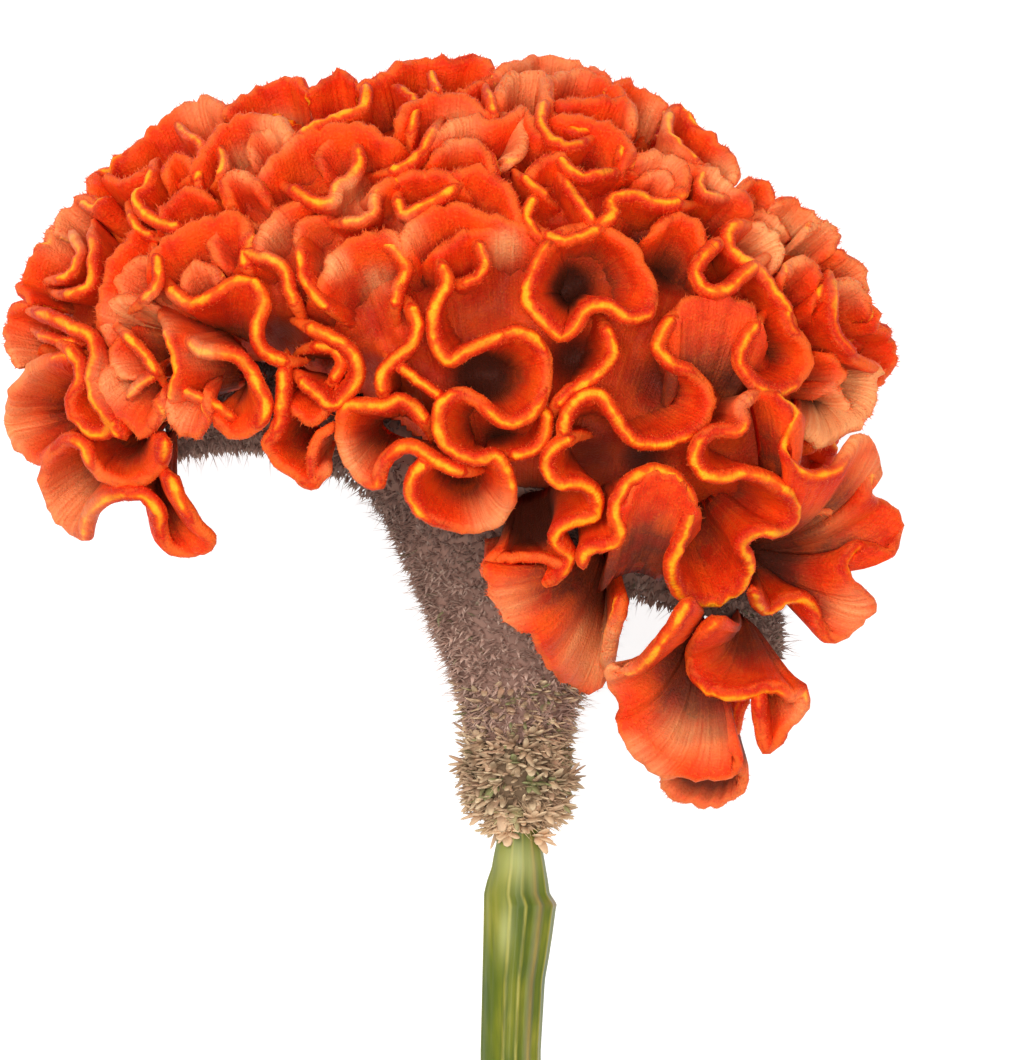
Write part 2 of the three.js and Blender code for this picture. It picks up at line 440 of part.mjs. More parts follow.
// rim points at even steps, and the foot line that the same points gather to
function rimAndFoot(fold, side) {
  const flat = [];
  for (let i = 0; i < fold.rim.length; i += 2) flat.push(vec(fold.rim[i], fold.rim[i + 1], 0));
  const curve = new THREE.CatmullRomCurve3(flat, Boolean(fold.ring), 'centripetal');
  const length = curve.getLength();
  const steps = Math.max(fold.ring ? 6 : 2, Math.round(length / SHEET.step));
  const rim = curve.getSpacedPoints(steps).slice(0, fold.ring ? steps : steps + 1);
  const pace = length / steps;
  const reach = Math.min(SHEET.gather, length * 0.45);
  const foot = rim.map((_, i) => {
    const sum = vec(0, 0, 0);
    let weight = 0;
    const span = Math.ceil((2 * reach) / pace);
    for (let k = -span; k <= span; k += 1) {
      const j = fold.ring ? (i + k + 10 * steps) % steps : THREE.MathUtils.clamp(i + k, 0, steps);
      const w = Math.exp(-0.5 * ((k * pace) / reach) ** 2);
      sum.addScaledVector(rim[j], w);
      weight += w;
    }
    return sum.divideScalar(weight);
  });
  rim.forEach((p, i) => {
    const flare = p.distanceTo(foot[i]);
    const along = fold.ring ? 1 : Math.min(1, (Math.min(i, steps - i) * pace) / SHEET.dipReach);
    const dip = fold.edge ? 0 : SHEET.endDip * (1 - along) ** 2;
    p.z = side * (domeHeight(p.x, p.y, side) + (fold.lift ?? 0) - SHEET.droop * flare * flare - dip);
  });
  foot.forEach((p, i) => {
    p.z = rim[i].z;
    if (fold.shift) p.add(vec(fold.shift[0], fold.shift[1], 0));
    p.addScaledVector(inward(p, side), SHEET.tall);
    if (fold.root) p.lerp(vec(...fold.root), fold.pull);
  });
  return { rim, foot };
}

// one fold as a row of short blocks, each a slice of the sheet
function foldBlocks(fold, side) {
  const { rim, foot } = rimAndFoot(fold, side);
  const count = rim.length;
  const at = (row, i) => row[fold.ring ? (i + count) % count : THREE.MathUtils.clamp(i, 0, count - 1)];
  const sections = rim.map((p, i) => {
    const along = at(rim, i + 1).clone().sub(at(rim, i - 1)).normalize();
    const across = vec(0, 0, 0).crossVectors(along, foot[i].clone().sub(p)).normalize();
    return [
      p.clone().addScaledVector(across, SHEET.rimHalf),
      p.clone().addScaledVector(across, -SHEET.rimHalf),
      foot[i].clone(),
    ];
  });
  const blocks = [];
  const total = fold.ring ? count : count - 1;
  for (let i = 0; i < total; i += 1) {
    const points = [...sections[i], ...sections[(i + 1) % count]];
    // both faces of the sheet are split alike, along the diagonal from rim to foot
    const triangles = [
      [0, 2, 1], [3, 4, 5], [0, 1, 4], [0, 4, 3], [1, 2, 5], [1, 5, 4], [0, 3, 5], [0, 5, 2],
    ];
    const block = solidFrom(points, triangles);
    const volume = block.volume();
    if (volume > LEAST_BLOCK) blocks.push(block);
    if (volume < -LEAST_BLOCK) blocks.push(solidFrom(points, triangles.map(([p, q, r]) => [p, r, q])));
  }
  return blocks;
}

// the back of the comb repeats the folds of its face, left for right, on a flatter dome, and the
// outline's folds a little inside it
function backOf(fold) {
  const rim = fold.rim.map((value, i) => {
    const middle = i % 2 === 0 ? DOME.x : DOME.y;
    if (fold.edge) return middle + (value - middle) * BACK.inset;
    return i % 2 === 0 ? 2 * DOME.x - value : value;
  });
  return { ...fold, rim, shift: fold.shift && [-fold.shift[0], fold.shift[1]], lift: 0 };
}

function rimLength(fold) {
  let length = 0;
  for (let i = 2; i < fold.rim.length; i += 2) {
    length += Math.hypot(fold.rim[i] - fold.rim[i - 2], fold.rim[i + 1] - fold.rim[i - 1]);
  }
  return length;
}

function onBack(fold) {
  if (fold.edge) return true;
  if (rimLength(fold) < LEAST_RIM.back || (fold.root && !fold.ring)) return false;
  for (let i = 0; i < fold.rim.length; i += 2) {
    const u = (fold.rim[i] - DOME.x) / DOME.halfWidth;
    const v = (fold.rim[i + 1] - DOME.y) / DOME.halfHeight;
    if (u * u + v * v > BACK.farthest || fold.rim[i + 1] < BACK.lowest) return false;
  }
  return true;
}

function core() {
  return join(CORE_LUMPS.map(({ at, half }, i) => {
    const ball = new THREE.SphereGeometry(1, ...(i === 0 ? CORE_CUTS.first : CORE_CUTS.other));
    ball.scale(...half);
    ball.translate(...at);
    return toManifold(ball);
  }));
}

// ---- the stalk and its florets ----------------------------------------------------------------

function ellipseRing(y, left, right, depth, sides, grow = 0) {
  return Array.from({ length: sides }, (_, k) => {
    const angle = (2 * Math.PI * k) / sides;
    const half = (right - left) / 2 + grow;
    return vec((left + right) / 2 + Math.cos(angle) * half, y, -Math.sin(angle) * (depth + grow));
  });
}

function neckCore(grow) {
  const rings = NECK_RINGS.map((ring) => ellipseRing(...ring, SIDES.neck, grow));
  rings[0].forEach((p) => { p.y -= grow; });
  rings[rings.length - 1].forEach((p) => { p.y += grow; });
  const arms = NECK_ARMS.map((arm) => {
    const centres = arm.map(([x, y]) => vec(x, y, 0));
    const armRings = arm.map(([, , radius], i) => {
      const [before, after] = [centres[Math.max(i - 1, 0)], centres[Math.min(i + 1, arm.length - 1)]];
      const along = after.clone().sub(before).normalize();
      const up = vec(-along.y, along.x, 0);
      const shift = i === arm.length - 1 ? grow : 0;
      return Array.from({ length: SIDES.arm }, (_, k) => {
        const angle = (2 * Math.PI * k) / SIDES.arm;
        const half = radius + grow;
        return centres[i].clone().addScaledVector(along, shift)
          .addScaledVector(up, Math.cos(angle) * half).add(vec(0, 0, Math.sin(angle) * half));
      });
    });
    return loft(armRings);
  });
  return join([loft(rings), ...arms]);
}

// one floret: a three-sided blade whose foot lies in the stalk and whose tip stands off it
function floret(foot, out, up, size, scale) {
  const long = size.long * scale;
  const tip = foot.clone().addScaledVector(out, long * STANCE.out).addScaledVector(up, long * STANCE.up);
  const across = vec(0, 0, 0).crossVectors(out, up).normalize();
  const root = foot.clone().addScaledVector(out, -STANCE.rootDeep);
  const half = (size.wide * scale) / 2;
  const points = [
    root.clone().addScaledVector(across, half).addScaledVector(up, -size.thick * STANCE.rootLow),
    root.clone().addScaledVector(across, -half).addScaledVector(up, -size.thick * STANCE.rootLow),
    root.clone().addScaledVector(up, size.thick),
    tip,
  ];
  const solid = solidFrom(points, [[0, 2, 1], [0, 1, 3], [1, 2, 3], [2, 0, 3]]);
  return solid.volume() > 0 ? solid : solidFrom(points, [[0, 1, 2], [0, 3, 1], [1, 3, 2], [2, 3, 0]]);
}

// florets spread evenly over the faces of a core, by area, each turned up the stalk
function spreadFlorets(coreSolid, size, random, keep, neighbours) {
  const mesh = coreSolid.getMesh();
  const corner = (i) => vec(...mesh.vertProperties.subarray(3 * i, 3 * i + 3));
  const faces = [];
  let area = 0;
  for (let i = 0; i < mesh.triVerts.length; i += 3) {
    const [a, b, c] = [0, 1, 2].map((k) => corner(mesh.triVerts[i + k]));
    const normal = vec(0, 0, 0).crossVectors(b.clone().sub(a), c.clone().sub(a));
    area += normal.length() / 2;
    faces.push({ a, b, c, normal: normal.normalize(), until: area });
  }
  const florets = [];
  const taken = [];
  const spacing = Math.sqrt(area / size.count) * SOWING.spacing;
  for (let tries = 0; tries < size.count * SOWING.tries && florets.length < size.count; tries += 1) {
    const draw = random() * area;
    const face = faces.find((f) => f.until >= draw);
    let [u, v] = [random(), random()];
    if (u + v > 1) [u, v] = [1 - u, 1 - v];
    const foot = face.a.clone()
      .addScaledVector(face.b.clone().sub(face.a), u).addScaledVector(face.c.clone().sub(face.a), v);
    const scale = SOWING.smallest + SOWING.range * random();
    const sway = vec(random() - 0.5, random() - 0.5, random() - 0.5);
    if (taken.some((p) => p.distanceTo(foot) < spacing)) continue;
    if (!keep(foot, face.normal)) continue;
    const up = vec(STANCE.lean * Math.sign(foot.x), 1, 0)
      .addScaledVector(face.normal, -face.normal.y).addScaledVector(sway, STANCE.sway).normalize();
    const roomy = floret(foot, face.normal, up, size, scale * AIR);
    if (neighbours.some((solid) => roomy.intersect(solid).volume() > 0)) continue;
    taken.push(foot);
    florets.push(floret(foot, face.normal, up, size, scale));
  }
  return florets;
}

function stemSolid() {
  const rings = STEM_RINGS.map(([y, left, right]) => {
    const lean = STEM_BEND.by * Math.max(0, (STEM_BEND.from - y) / STEM_BEND.over) ** 2;
    return Array.from({ length: STEM.sides }, (_, k) => {
      const angle = (2 * Math.PI * k) / STEM.sides;
      const rib = 1 + STEM.ribDeep * Math.cos(STEM.ribs * angle);
      const half = ((right - left) / 2) * rib;
      const x = (left + right) / 2 + Math.cos(angle) * half;
      return vec(x, y, lean - Math.sin(angle) * half * STEM.flat);
    });
  });
  return loft(rings);
}

// ---- putting the flower together --------------------------------------------------------------

const lay = new THREE.Matrix4().makeRotationX(TILT).setPosition(0, 0, REST_HEIGHT);

// a shape turned to lie on the ground, its resting corners exactly on it
function laid(geometry) {
  geometry.applyMatrix4(lay);
  const place = geometry.attributes.position;
  for (let i = 0; i < place.count; i += 1) {
    if (place.getZ(i) < SMALL.apart * 2) place.setZ(i, 0);
  }
  return geometry;
}

function ground() {
  const slab = new THREE.BoxGeometry(400, 500, 60);
  slab.translate(0, 0, -30);
  return toManifold(slab.applyMatrix4(lay.clone().invert()));
}

const random = seeded(SEED);
const stalk = neckCore(0);
const folds = [
  ...FOLDS.filter((fold) => rimLength(fold) > LEAST_RIM.face).flatMap((fold) => foldBlocks(fold, 1)),
  ...FOLDS.filter(onBack).flatMap((fold) => foldBlocks(backOf(fold), -1)),
];
const grown = toManifold(shapeOf(join([core(), ...folds]), SMALL.edge));
const combShape = shapeOf(grown.subtract(neckCore(GAP)).subtract(ground()), SMALL.floretEdge);
const combBody = toManifold(combShape);

const collarCore = loft(COLLAR_RINGS.map((ring) => ellipseRing(...ring, SIDES.neck)));
const onNeck = (foot) => foot.y > NECK_FLORETS.from && foot.y < NECK_FLORETS.to;
const neckBlades = spreadFlorets(stalk, NECK_FLORETS, random, onNeck, [combBody, collarCore]);
const neckSolid = join([stalk, ...neckBlades]);
const neckShape = shapeOf(neckSolid, SMALL.floretEdge);
const neckBody = toManifold(neckShape);
const stalkEnd = stemSolid();
const onCollar = (foot) => foot.y > COLLAR_FLORETS.from && foot.y < COLLAR_FLORETS.to;
const collarBlades = spreadFlorets(collarCore, COLLAR_FLORETS, random, onCollar, [neckBody, stalkEnd]);
const collarShape = shapeOf(join([collarCore, ...collarBlades]), SMALL.floretEdge);
const stemShape = shapeOf(stalkEnd.subtract(ground()), SMALL.floretEdge);

function piece(name, geometry, color, roughness) {
  const material = new THREE.MeshStandardMaterial({ color, roughness, metalness: 0, flatShading: true });
  const mesh = new THREE.Mesh(laid(geometry), material);
  mesh.name = name;
  return mesh;
}

const flower = new THREE.Group();
flower.add(
  piece('stem', stemShape, 0x7f9a3c, 0.55),
  piece('collar', collarShape, 0xb59b75, 0.85),
  piece('neck', neckShape, 0x7a625c, 0.9),
  piece('comb', combShape, 0xf0500f, 0.7),
);

// the origin is on the ground, under the middle of the whole flower
const extent = new THREE.Box3().setFromObject(flower);
const middle = extent.getCenter(vec(0, 0, 0));
flower.position.set(-middle.x, -middle.y, -extent.min.z);

export default flower;
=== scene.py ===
# %% [markdown]
# # A cockscomb celosia, cut and laid down
#
# A cockscomb is a flower head that grew too wide. Where a plain celosia ends in a point, this one ends
# in a ridge, and the ridge grows faster than the flesh that carries it, so it ruffles, as the edge of a
# lettuce leaf does. From a step away the eye reads four things: thick orange ruffles with a yellow
# thread along their crest, the dark chaffy neck under them, a collar of straw florets, and a ribbed
# green stalk. The lesson builds them in that order, around the solid model that it loads first.

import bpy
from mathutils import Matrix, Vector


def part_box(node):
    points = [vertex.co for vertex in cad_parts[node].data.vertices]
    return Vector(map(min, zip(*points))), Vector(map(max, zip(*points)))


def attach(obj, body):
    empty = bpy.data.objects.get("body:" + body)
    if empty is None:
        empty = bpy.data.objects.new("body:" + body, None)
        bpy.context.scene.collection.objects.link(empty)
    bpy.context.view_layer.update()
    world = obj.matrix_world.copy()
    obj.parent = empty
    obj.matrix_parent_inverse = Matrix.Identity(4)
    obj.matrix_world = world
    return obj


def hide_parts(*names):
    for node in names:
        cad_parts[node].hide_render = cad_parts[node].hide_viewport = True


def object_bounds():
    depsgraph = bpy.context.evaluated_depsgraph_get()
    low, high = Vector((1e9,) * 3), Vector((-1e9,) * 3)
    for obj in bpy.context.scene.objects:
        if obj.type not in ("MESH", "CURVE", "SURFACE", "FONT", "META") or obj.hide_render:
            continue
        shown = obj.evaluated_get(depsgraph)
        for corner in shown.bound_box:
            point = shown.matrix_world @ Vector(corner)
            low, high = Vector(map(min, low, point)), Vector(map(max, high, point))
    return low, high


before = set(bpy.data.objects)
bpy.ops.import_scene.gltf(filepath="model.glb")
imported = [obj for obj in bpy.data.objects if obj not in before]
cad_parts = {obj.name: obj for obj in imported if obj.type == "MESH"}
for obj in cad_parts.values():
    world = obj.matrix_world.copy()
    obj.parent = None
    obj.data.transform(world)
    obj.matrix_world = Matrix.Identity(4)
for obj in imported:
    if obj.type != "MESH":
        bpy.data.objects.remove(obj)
CAD_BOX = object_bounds()
print("frame box, mm:", [[round(1000 * value, 1) for value in corner] for corner in CAD_BOX])

# %% Tools
import math

import bmesh
import bpy
import numpy as np
from mathutils import Matrix, Vector
from mathutils.kdtree import KDTree

# %% [markdown]
# ## Where the flower lies
#
# It is easier to think about a flower that stands. So every shape below is worked out in the flower's
# own frame, in millimetres: X to the right, Y up along the stalk, Z out of the flower's face, and the
# origin where the green stalk ends. One matrix then tips it on its back and brings it to the place of
# the solid model, in metres. The stalk's solid tells where that is, so nothing is fitted by eye.

# %% Lay the flower down
TILT = math.radians(6.5)        # the stalk droops to the ground, the head lies on its back
REST_HEIGHT = 24.6              # mm from the ground up to the flower's origin
STALK_REACH = (6.504, 1.086)    # mm from that origin to the stalk's rightmost and topmost points
MM = 0.001

stalk_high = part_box("stem")[1]
origin = Vector((stalk_high.x / MM - STALK_REACH[0], stalk_high.y / MM - STALK_REACH[1], REST_HEIGHT))
LAY = Matrix.Scale(MM, 4) @ Matrix.Translation(origin) @ Matrix.Rotation(TILT, 4, "X")
print("flower origin, mm:", [round(value, 2) for value in origin])

# %% [markdown]
# ## The folds
#
# No formula gives a believable ruffle, because the real one is crowded: each fold gives way to the next.
# So the folds are drawn one by one, as a sculptor would score them on a dome of clay. Each is a rim, the
# line along a fold's crest, given by the points it passes through. Beside its rim a fold may say
#
# - `shift`: how far the foot of the sheet lies to the side, which lays the sheet open like a fan,
# - `root` and `pull`: a point that the sheet gathers to, for the trumpets that hang free,
# - `lift`: how far the rim stands over the dome,
# - `tall`: how tall the sheet is, where it is lower than most,
# - `ring`: the rim closes on itself,
# - `edge`: the rim is part of the outline, where the comb turns to its back,
# - `plain` or `bright`: its yellow thread is turned away from the eye, or stays in sight,
# - `pale`: how much of the orange has faded to cream, as on sheets that never saw the sun,
# - `shade`: how far below the crest the sheet is painted dark, as painted shade.

# %% Score the rims
FOLDS = [
    # the middle of the face
    dict(rim=[4.5, 99, 1.5, 93.5, 0.5, 89, 3, 85.5, 7, 82.5, 9.5, 84.5, 11, 87, 14.5, 87.7, 18.5, 85.5,
         22, 86.5, 23, 90.5, 21, 95.5, 19.5, 98.3, 14, 101.7, 8, 101.5], ring=True, root=(8, 90.5, 12),
         pull=0.72, lift=2),
    dict(rim=[15, 84.5, 15.7, 82.5, 16, 80, 14.5, 78, 11, 75.5, 8, 74, 6.5, 72.5]),
    dict(rim=[7, 68, 8, 72, 11, 74.5, 14, 74, 16, 70, 18.5, 66, 22, 65, 27, 66, 31, 68.5, 32.5, 72.5,
         31, 76, 28, 78, 24.5, 79, 22.5, 81.5, 23, 84, 24.7, 86.5], lift=1),
    dict(rim=[38.8, 85.5, 37, 83, 36, 80.5, 36.5, 77.5, 39, 74.8, 42, 73.5, 45.5, 74.5, 48, 77, 48.8, 80,
         47.5, 83, 45.5, 85, 44.3, 87.5], lift=1),
    dict(rim=[25.2, 86.5, 27, 89.5, 31, 90.5, 35.5, 90, 38.5, 88.5, 40, 86], shift=(0, -15), lift=-0.5,
         tall=9, pale=0.05),
    dict(rim=[4.8, 71, 5, 68.5, 4.3, 66, 2.5, 64.3, -0.5, 63.5], lift=-1),
    dict(rim=[-12, 95, -11.3, 92, -13.5, 89, -14.5, 84, -13.3, 80, -11.3, 78.5, -9, 80.3, -5, 82.5,
         0, 84.7, 4, 82.7, 5.7, 78.5, 4.7, 73, 2, 69.5, -2, 68.5, -5, 71, -7.5, 73.5, -10, 74.5, -13, 73,
         -14, 69.5, -13, 66, -10, 63.7, -6.5, 63, -3.3, 64, -1.5, 62, -0.4, 58, -1, 54.5, -4, 51.8,
         -8, 51, -12, 51.7, -16.3, 53.8, -18.3, 57, -18, 60.5, -16, 62.5], lift=1),
    dict(rim=[-15, 70, -16.5, 72, -19, 73.5, -22, 72.5, -25, 72.6, -28.5, 72.5, -30, 68, -29, 63,
         -26, 59.3, -23.3, 58.2, -23, 61, -21, 64.3, -18, 65.7, -14.5, 63.8, -11.5, 61.8, -9, 61]),
    dict(rim=[-6.2, 98.3, -5.1, 95.5, -6.2, 93, -8.5, 92.2], lift=1),
    dict(rim=[-19.5, 98, -18.3, 101.7, -15.3, 104, -10.3, 105.5, -6.5, 104, -1.9, 102.8, 1.2, 102],
         shift=(2, -9)),
    dict(rim=[-13.4, 97.9, -9.5, 100.5, -5, 101.7, 0, 101.7, 3.5, 99.8], shift=(1, -9), lift=-1),
    dict(rim=[-17, 88, -16, 85, -17.3, 81.7, -20, 79.8, -22.5, 77.5, -22.7, 74.5]),
    dict(rim=[-19, 78, -16, 75.7, -13.3, 73.8]),
    dict(rim=[-34, 85, -31, 83.7, -28, 82.2, -25.8, 79.5, -25.5, 76, -27, 74, -30, 71.3, -33, 73.5,
         -35.5, 75.7]),
    dict(rim=[-33, 82, -30, 81.5, -28.8, 79, -30, 76.5], lift=-2),
    dict(rim=[-22, 99.3, -18.3, 95.7, -18, 94, -19.5, 91.8, -20.3, 89]),
    dict(rim=[-33, 92, -31.6, 94.6, -30.5, 97.4, -25.5, 100.2, -21.1, 100.7, -18.5, 99], shift=(4, -9)),

    # the sheets that hang in front of the neck, below and right of the middle
    dict(rim=[8, 66.5, 5, 65, 3.7, 62, 5, 59.5, 7, 58.5, 11, 58.7, 13.3, 57, 13.5, 54, 11, 52.7, 7, 51.7,
         5.5, 49.5, 7, 48, 8.8, 47, 8.3, 45, 5.5, 42.5, 1, 41, -3, 42, -6, 45, -4.5, 46.7], shift=(2, 3)),
    dict(rim=[-5.5, 45.5, -4, 47, 0, 47.5, 4.5, 47.3, 7.5, 46], shift=(0, -5), lift=-0.5),
    dict(rim=[-6, 45, -4.5, 40.5, -2, 36.5, 2, 34.3, 4, 30, 7, 27, 11, 25, 14, 26.5, 14.5, 29, 15, 33,
         17, 39], root=(16, 50, 14), pull=0.85, lift=3, plain=True),
    dict(rim=[10.3, 46, 10.8, 47.8, 12.5, 48.3, 16, 49, 17, 51, 15.7, 53.8, 16.3, 57, 18, 60, 22, 62,
         26, 61, 29, 57, 28.3, 53, 26.5, 48.5, 24.7, 45, 25.5, 41.5, 28.5, 39, 33, 39, 37, 41.5, 39, 45.5,
         37, 48.5, 38.5, 50.5, 41, 51.3, 44.5, 51.2, 46.7, 53.5, 46.5, 56.5, 43, 59.7, 38, 61, 33, 59.8,
         30, 60.3, 28.2, 63, 29.3, 66.5, 32.3, 68, 35.7, 67.6, 37.6, 69.4, 36.5, 72, 38, 73.5], lift=4),
    dict(rim=[43, 74, 45.5, 71.5, 44, 68, 44, 65, 46.5, 62.2, 49.5, 61.5, 53, 63, 55, 66.3, 56.7, 68,
         58.8, 66, 60.3, 63, 58.8, 60, 59.2, 57.5, 62, 56.5, 64, 54.5, 64.3, 51, 62.7, 48.5, 59, 49.8,
         56.5, 49, 55.2, 46.5, 56, 43.5, 58.5, 41.5, 59.8, 40, 58.5, 37, 55.5, 34.3, 53, 33.5, 51, 36,
         49.5, 39.5, 47, 40.3, 44.5, 39.2, 42.3, 38, 40, 38.7, 38.7, 41], root=(38, 47.5, 2), pull=0.92,
         lift=5),
    dict(rim=[17, 55.5, 18.3, 59, 22, 61.6, 26, 60.7, 28.7, 57], shift=(-2, -20), lift=3, tall=12),
    dict(rim=[27, 40, 24.5, 36, 21.5, 32, 19.5, 29.2, 16.5, 28.3, 14.3, 28, 15, 25.5, 16.5, 22.5, 16, 20,
         17, 17, 20, 13, 23.3, 10.8, 26, 10.5, 30, 10.2, 34, 10.4, 36, 11.2, 35.7, 13], root=(31, 40, 8),
         pull=0.88, lift=15),
    dict(rim=[23.6, 10.8, 23.6, 8.6, 26, 6.6, 30, 5.5, 33.8, 5.6, 36.4, 7.2, 37.4, 9.6, 35.6, 12.2],
         root=(32, 38, 0), pull=0.86, lift=4, pale=0.3, plain=True, shade=1.2),
    dict(rim=[38.8, 27, 38.2, 23, 37, 19.5, 35.4, 16.5, 34.9, 13.5], root=(31, 34, 2), pull=0.8, lift=7,
         plain=True, shade=3),
    dict(rim=[32, 37, 29, 34.5, 27.7, 31, 28.5, 27.5, 31, 25, 35, 24.2, 39, 25, 43, 25.3, 46, 24,
         47.8, 24.5, 47, 21.5, 44, 18.5, 42.3, 15.5, 40.5, 15, 39.5, 18.5, 39.3, 24],
         root=(38.5, 37.5, 4), pull=0.85, lift=16),

    # the lower left edge
    dict(rim=[-57, 91.5, -54, 89.3, -50, 90.5, -47, 92.7, -44, 93.3, -41.7, 92, -41, 89, -42.3, 86,
         -42.5, 83, -41, 80.7, -38, 79.5], shift=(-4, -4), bright=True),
    dict(rim=[-54, 81.5, -51.5, 80.3, -46, 80, -43.5, 78, -42, 75, -40.5, 72, -41.2, 69, -43.5, 67,
         -46.5, 66.3, -49.5, 68.5], shift=(-2, 5), lift=1),
    dict(rim=[-54.5, 75, -52, 74, -49.5, 72.7, -47, 71], shift=(-1, -6), bright=True),
    dict(rim=[-38.5, 77.5, -38.8, 73, -39.5, 69, -41, 66.5, -42, 66, -40, 62, -37, 60, -34, 58.5,
         -31, 61]),
    dict(rim=[-31, 68.3, -33.3, 66.5, -34.2, 63.5, -34, 60]),
    dict(rim=[-37.5, 71, -35, 68.5, -32, 69.5, -30.5, 73], shift=(2, 5), lift=-2, tall=9, plain=True),
    dict(rim=[-80, 88, -77, 87, -74, 85.5, -71, 84.5, -69.8, 81.5, -70.5, 78, -71, 75.5, -69, 71,
         -66, 67], lift=2),
    dict(rim=[-79.5, 84, -76.5, 83, -74, 82.8]),
    dict(rim=[-74.5, 81.8, -72.7, 79.5, -73, 76, -74.5, 73.5, -74.5, 71, -72, 68, -69, 66.8, -66.5, 69],
         lift=2),
    dict(rim=[-74, 81, -80, 80, -84, 76, -86.3, 71, -85.5, 67, -83, 64.5, -79.5, 62.5, -76, 65],
         root=(-68, 72, 0), pull=0.6, lift=1),
    dict(rim=[-57, 66, -57.5, 62.5, -60.5, 59.7, -64.5, 59, -68, 60.2, -70.3, 63, -72, 66, -74.5, 67,
         -77.5, 65, -79.5, 62, -79.5, 57.5, -77.5, 53.5, -74, 50.5, -71.5, 50, -71.3, 53, -68.5, 55.8,
         -64.5, 57.2, -60.5, 56.8, -58.3, 54.5, -58, 51, -56.5, 48.3, -52.5, 47.3, -49.5, 49.3, -52, 52.5,
         -54.5, 56.5, -56, 60], root=(-60, 71, 0), pull=0.74, lift=3),
    dict(rim=[-64, 84, -62, 82, -60, 79.5, -59, 78], shift=(-7, 0), lift=1),
    dict(rim=[-59.5, 76.5, -62, 75, -64, 73], shift=(-4, 5)),
    dict(rim=[-69.5, 76.5, -68.5, 72, -65, 69, -62, 66.7, -59.5, 69, -59, 73], shift=(2, 4.5), tall=8,
         pale=0.05, plain=True),
    dict(rim=[-58.5, 72, -57.5, 69.5, -55.5, 67, -53, 66.5, -51, 69, -51.5, 73], shift=(1, 4.5), tall=8,
         pale=0.1, plain=True),
    dict(rim=[-57.8, 73.5, -57, 77, -57.3, 80.5, -58.5, 84], shift=(7, 1), lift=1),

    # the upper left
    dict(rim=[-61.3, 111.5, -62.3, 109, -64, 106.5, -62.5, 104.3, -60, 102.8, -56.5, 101.8]),
    dict(rim=[-64.7, 104, -63.2, 101.7, -61, 100.5], lift=-1),
    dict(rim=[-74, 100.5, -72.8, 98, -73, 96, -74.5, 94, -76.5, 93.3], shift=(-3, 3), lift=1),
    dict(rim=[-71, 100, -70.8, 96.5, -71, 93, -72.3, 91.3, -75, 90.7], lift=1),
    dict(rim=[-73.2, 106.7, -71, 105.9, -69.3, 107]),
    dict(rim=[-68.5, 111, -65, 110.7, -62, 112], shift=(0, -6)),
    dict(rim=[-57, 119.7, -55, 117.8, -53, 116.7, -52.3, 115]),
    dict(rim=[-49.5, 115, -48.8, 113, -49.5, 111]),
    dict(rim=[-58.7, 96.5, -58.3, 93, -59.5, 91, -61, 89.5], shift=(-7, 2), lift=1),
    dict(rim=[-65.3, 99.6, -68.1, 95.8, -69.2, 91.3, -69.8, 87.5], shift=(6, -2), plain=True),
    dict(rim=[-61, 96.5, -60.3, 98, -55.4, 101.5, -50.4, 103.5, -45.5, 104, -44, 101, -44.5, 98],
         shift=(0, -10)),
    dict(rim=[-59.3, 104, -57.6, 106.8, -54.3, 108.5, -52, 107.9], shift=(1, -6)),
    dict(rim=[-58.7, 111.2, -58.1, 113.4, -56.2, 114.3, -53.7, 112.9, -53.2, 110.7], shift=(0, -4)),
    dict(rim=[-54, 112, -52.7, 114, -51, 117.3, -47.7, 120, -42.2, 120.8, -39.3, 120, -37.5, 117],
         shift=(2, -7)),
    dict(rim=[-48.2, 106.3, -48.8, 109.6, -47.1, 111.2, -44.3, 110.2, -41.6, 107.3], shift=(1, -4)),
    dict(rim=[-37, 107.5, -34, 105.7, -31.5, 105, -30, 106.2, -29.8, 108.5, -28, 109.3, -26.5, 110.5,
         -25.8, 112.5, -26, 114.3], lift=1),
    dict(rim=[-42.1, 111.2, -36.6, 116.8, -31, 118.7, -25.5, 118.7, -20.5, 116.2], shift=(0, -10)),
    dict(rim=[-25, 125.5, -25.2, 123, -26.5, 121.3, -29, 120.8, -32, 119.6, -35.5, 118], lift=1),
    dict(rim=[-14, 117.7, -15.5, 115, -17.5, 112.5, -20.5, 111.2], lift=1),
    dict(rim=[-10.5, 108.2, -12.5, 106.7, -16, 104.7, -19, 103.3, -20, 105.5], lift=1),
    dict(rim=[-20, 109.5, -22.3, 108.5, -23.7, 106.5, -23.5, 104, -25.5, 102.5, -28.5, 102.2]),
    dict(rim=[-23, 108.6, -19, 110.5, -12.3, 110.8, -9.5, 109.1], shift=(0, -5)),
    dict(rim=[-45.3, 95.5, -45.5, 97.5, -44, 97.2, -40, 96.3, -38, 94.5, -37.5, 91.5, -36.8, 89], lift=1),
    dict(rim=[-36.5, 97, -36, 93, -34.5, 90.5, -32.3, 88], shift=(5, 1), lift=1),
    dict(rim=[-43.5, 97, -42.5, 101, -39.5, 104.5, -36, 106.5], shift=(3, -4)),

    # the upper middle and right
    dict(rim=[4, 122.3, 3.5, 119.5, 5, 117, 7.5, 115.2, 10.5, 115.8], lift=1),
    dict(rim=[6.8, 120, 9.5, 118, 12, 118.5], lift=-1),
    dict(rim=[7, 113, 9, 110.6, 12, 110.2, 15.5, 111], lift=1),
    dict(rim=[17.7, 116.5, 17, 114, 18, 112.3]),
    dict(rim=[13.8, 102, 15.8, 103.7, 15.2, 106.5, 19, 107.3, 22.5, 105.8, 26.5, 105.7], lift=1,
         bright=True),
    dict(rim=[8, 109.2, 10, 106, 12.2, 102.8], lift=1, bright=True),
    dict(rim=[1.3, 109.7, 3, 108.2, 4.5, 107], lift=1),
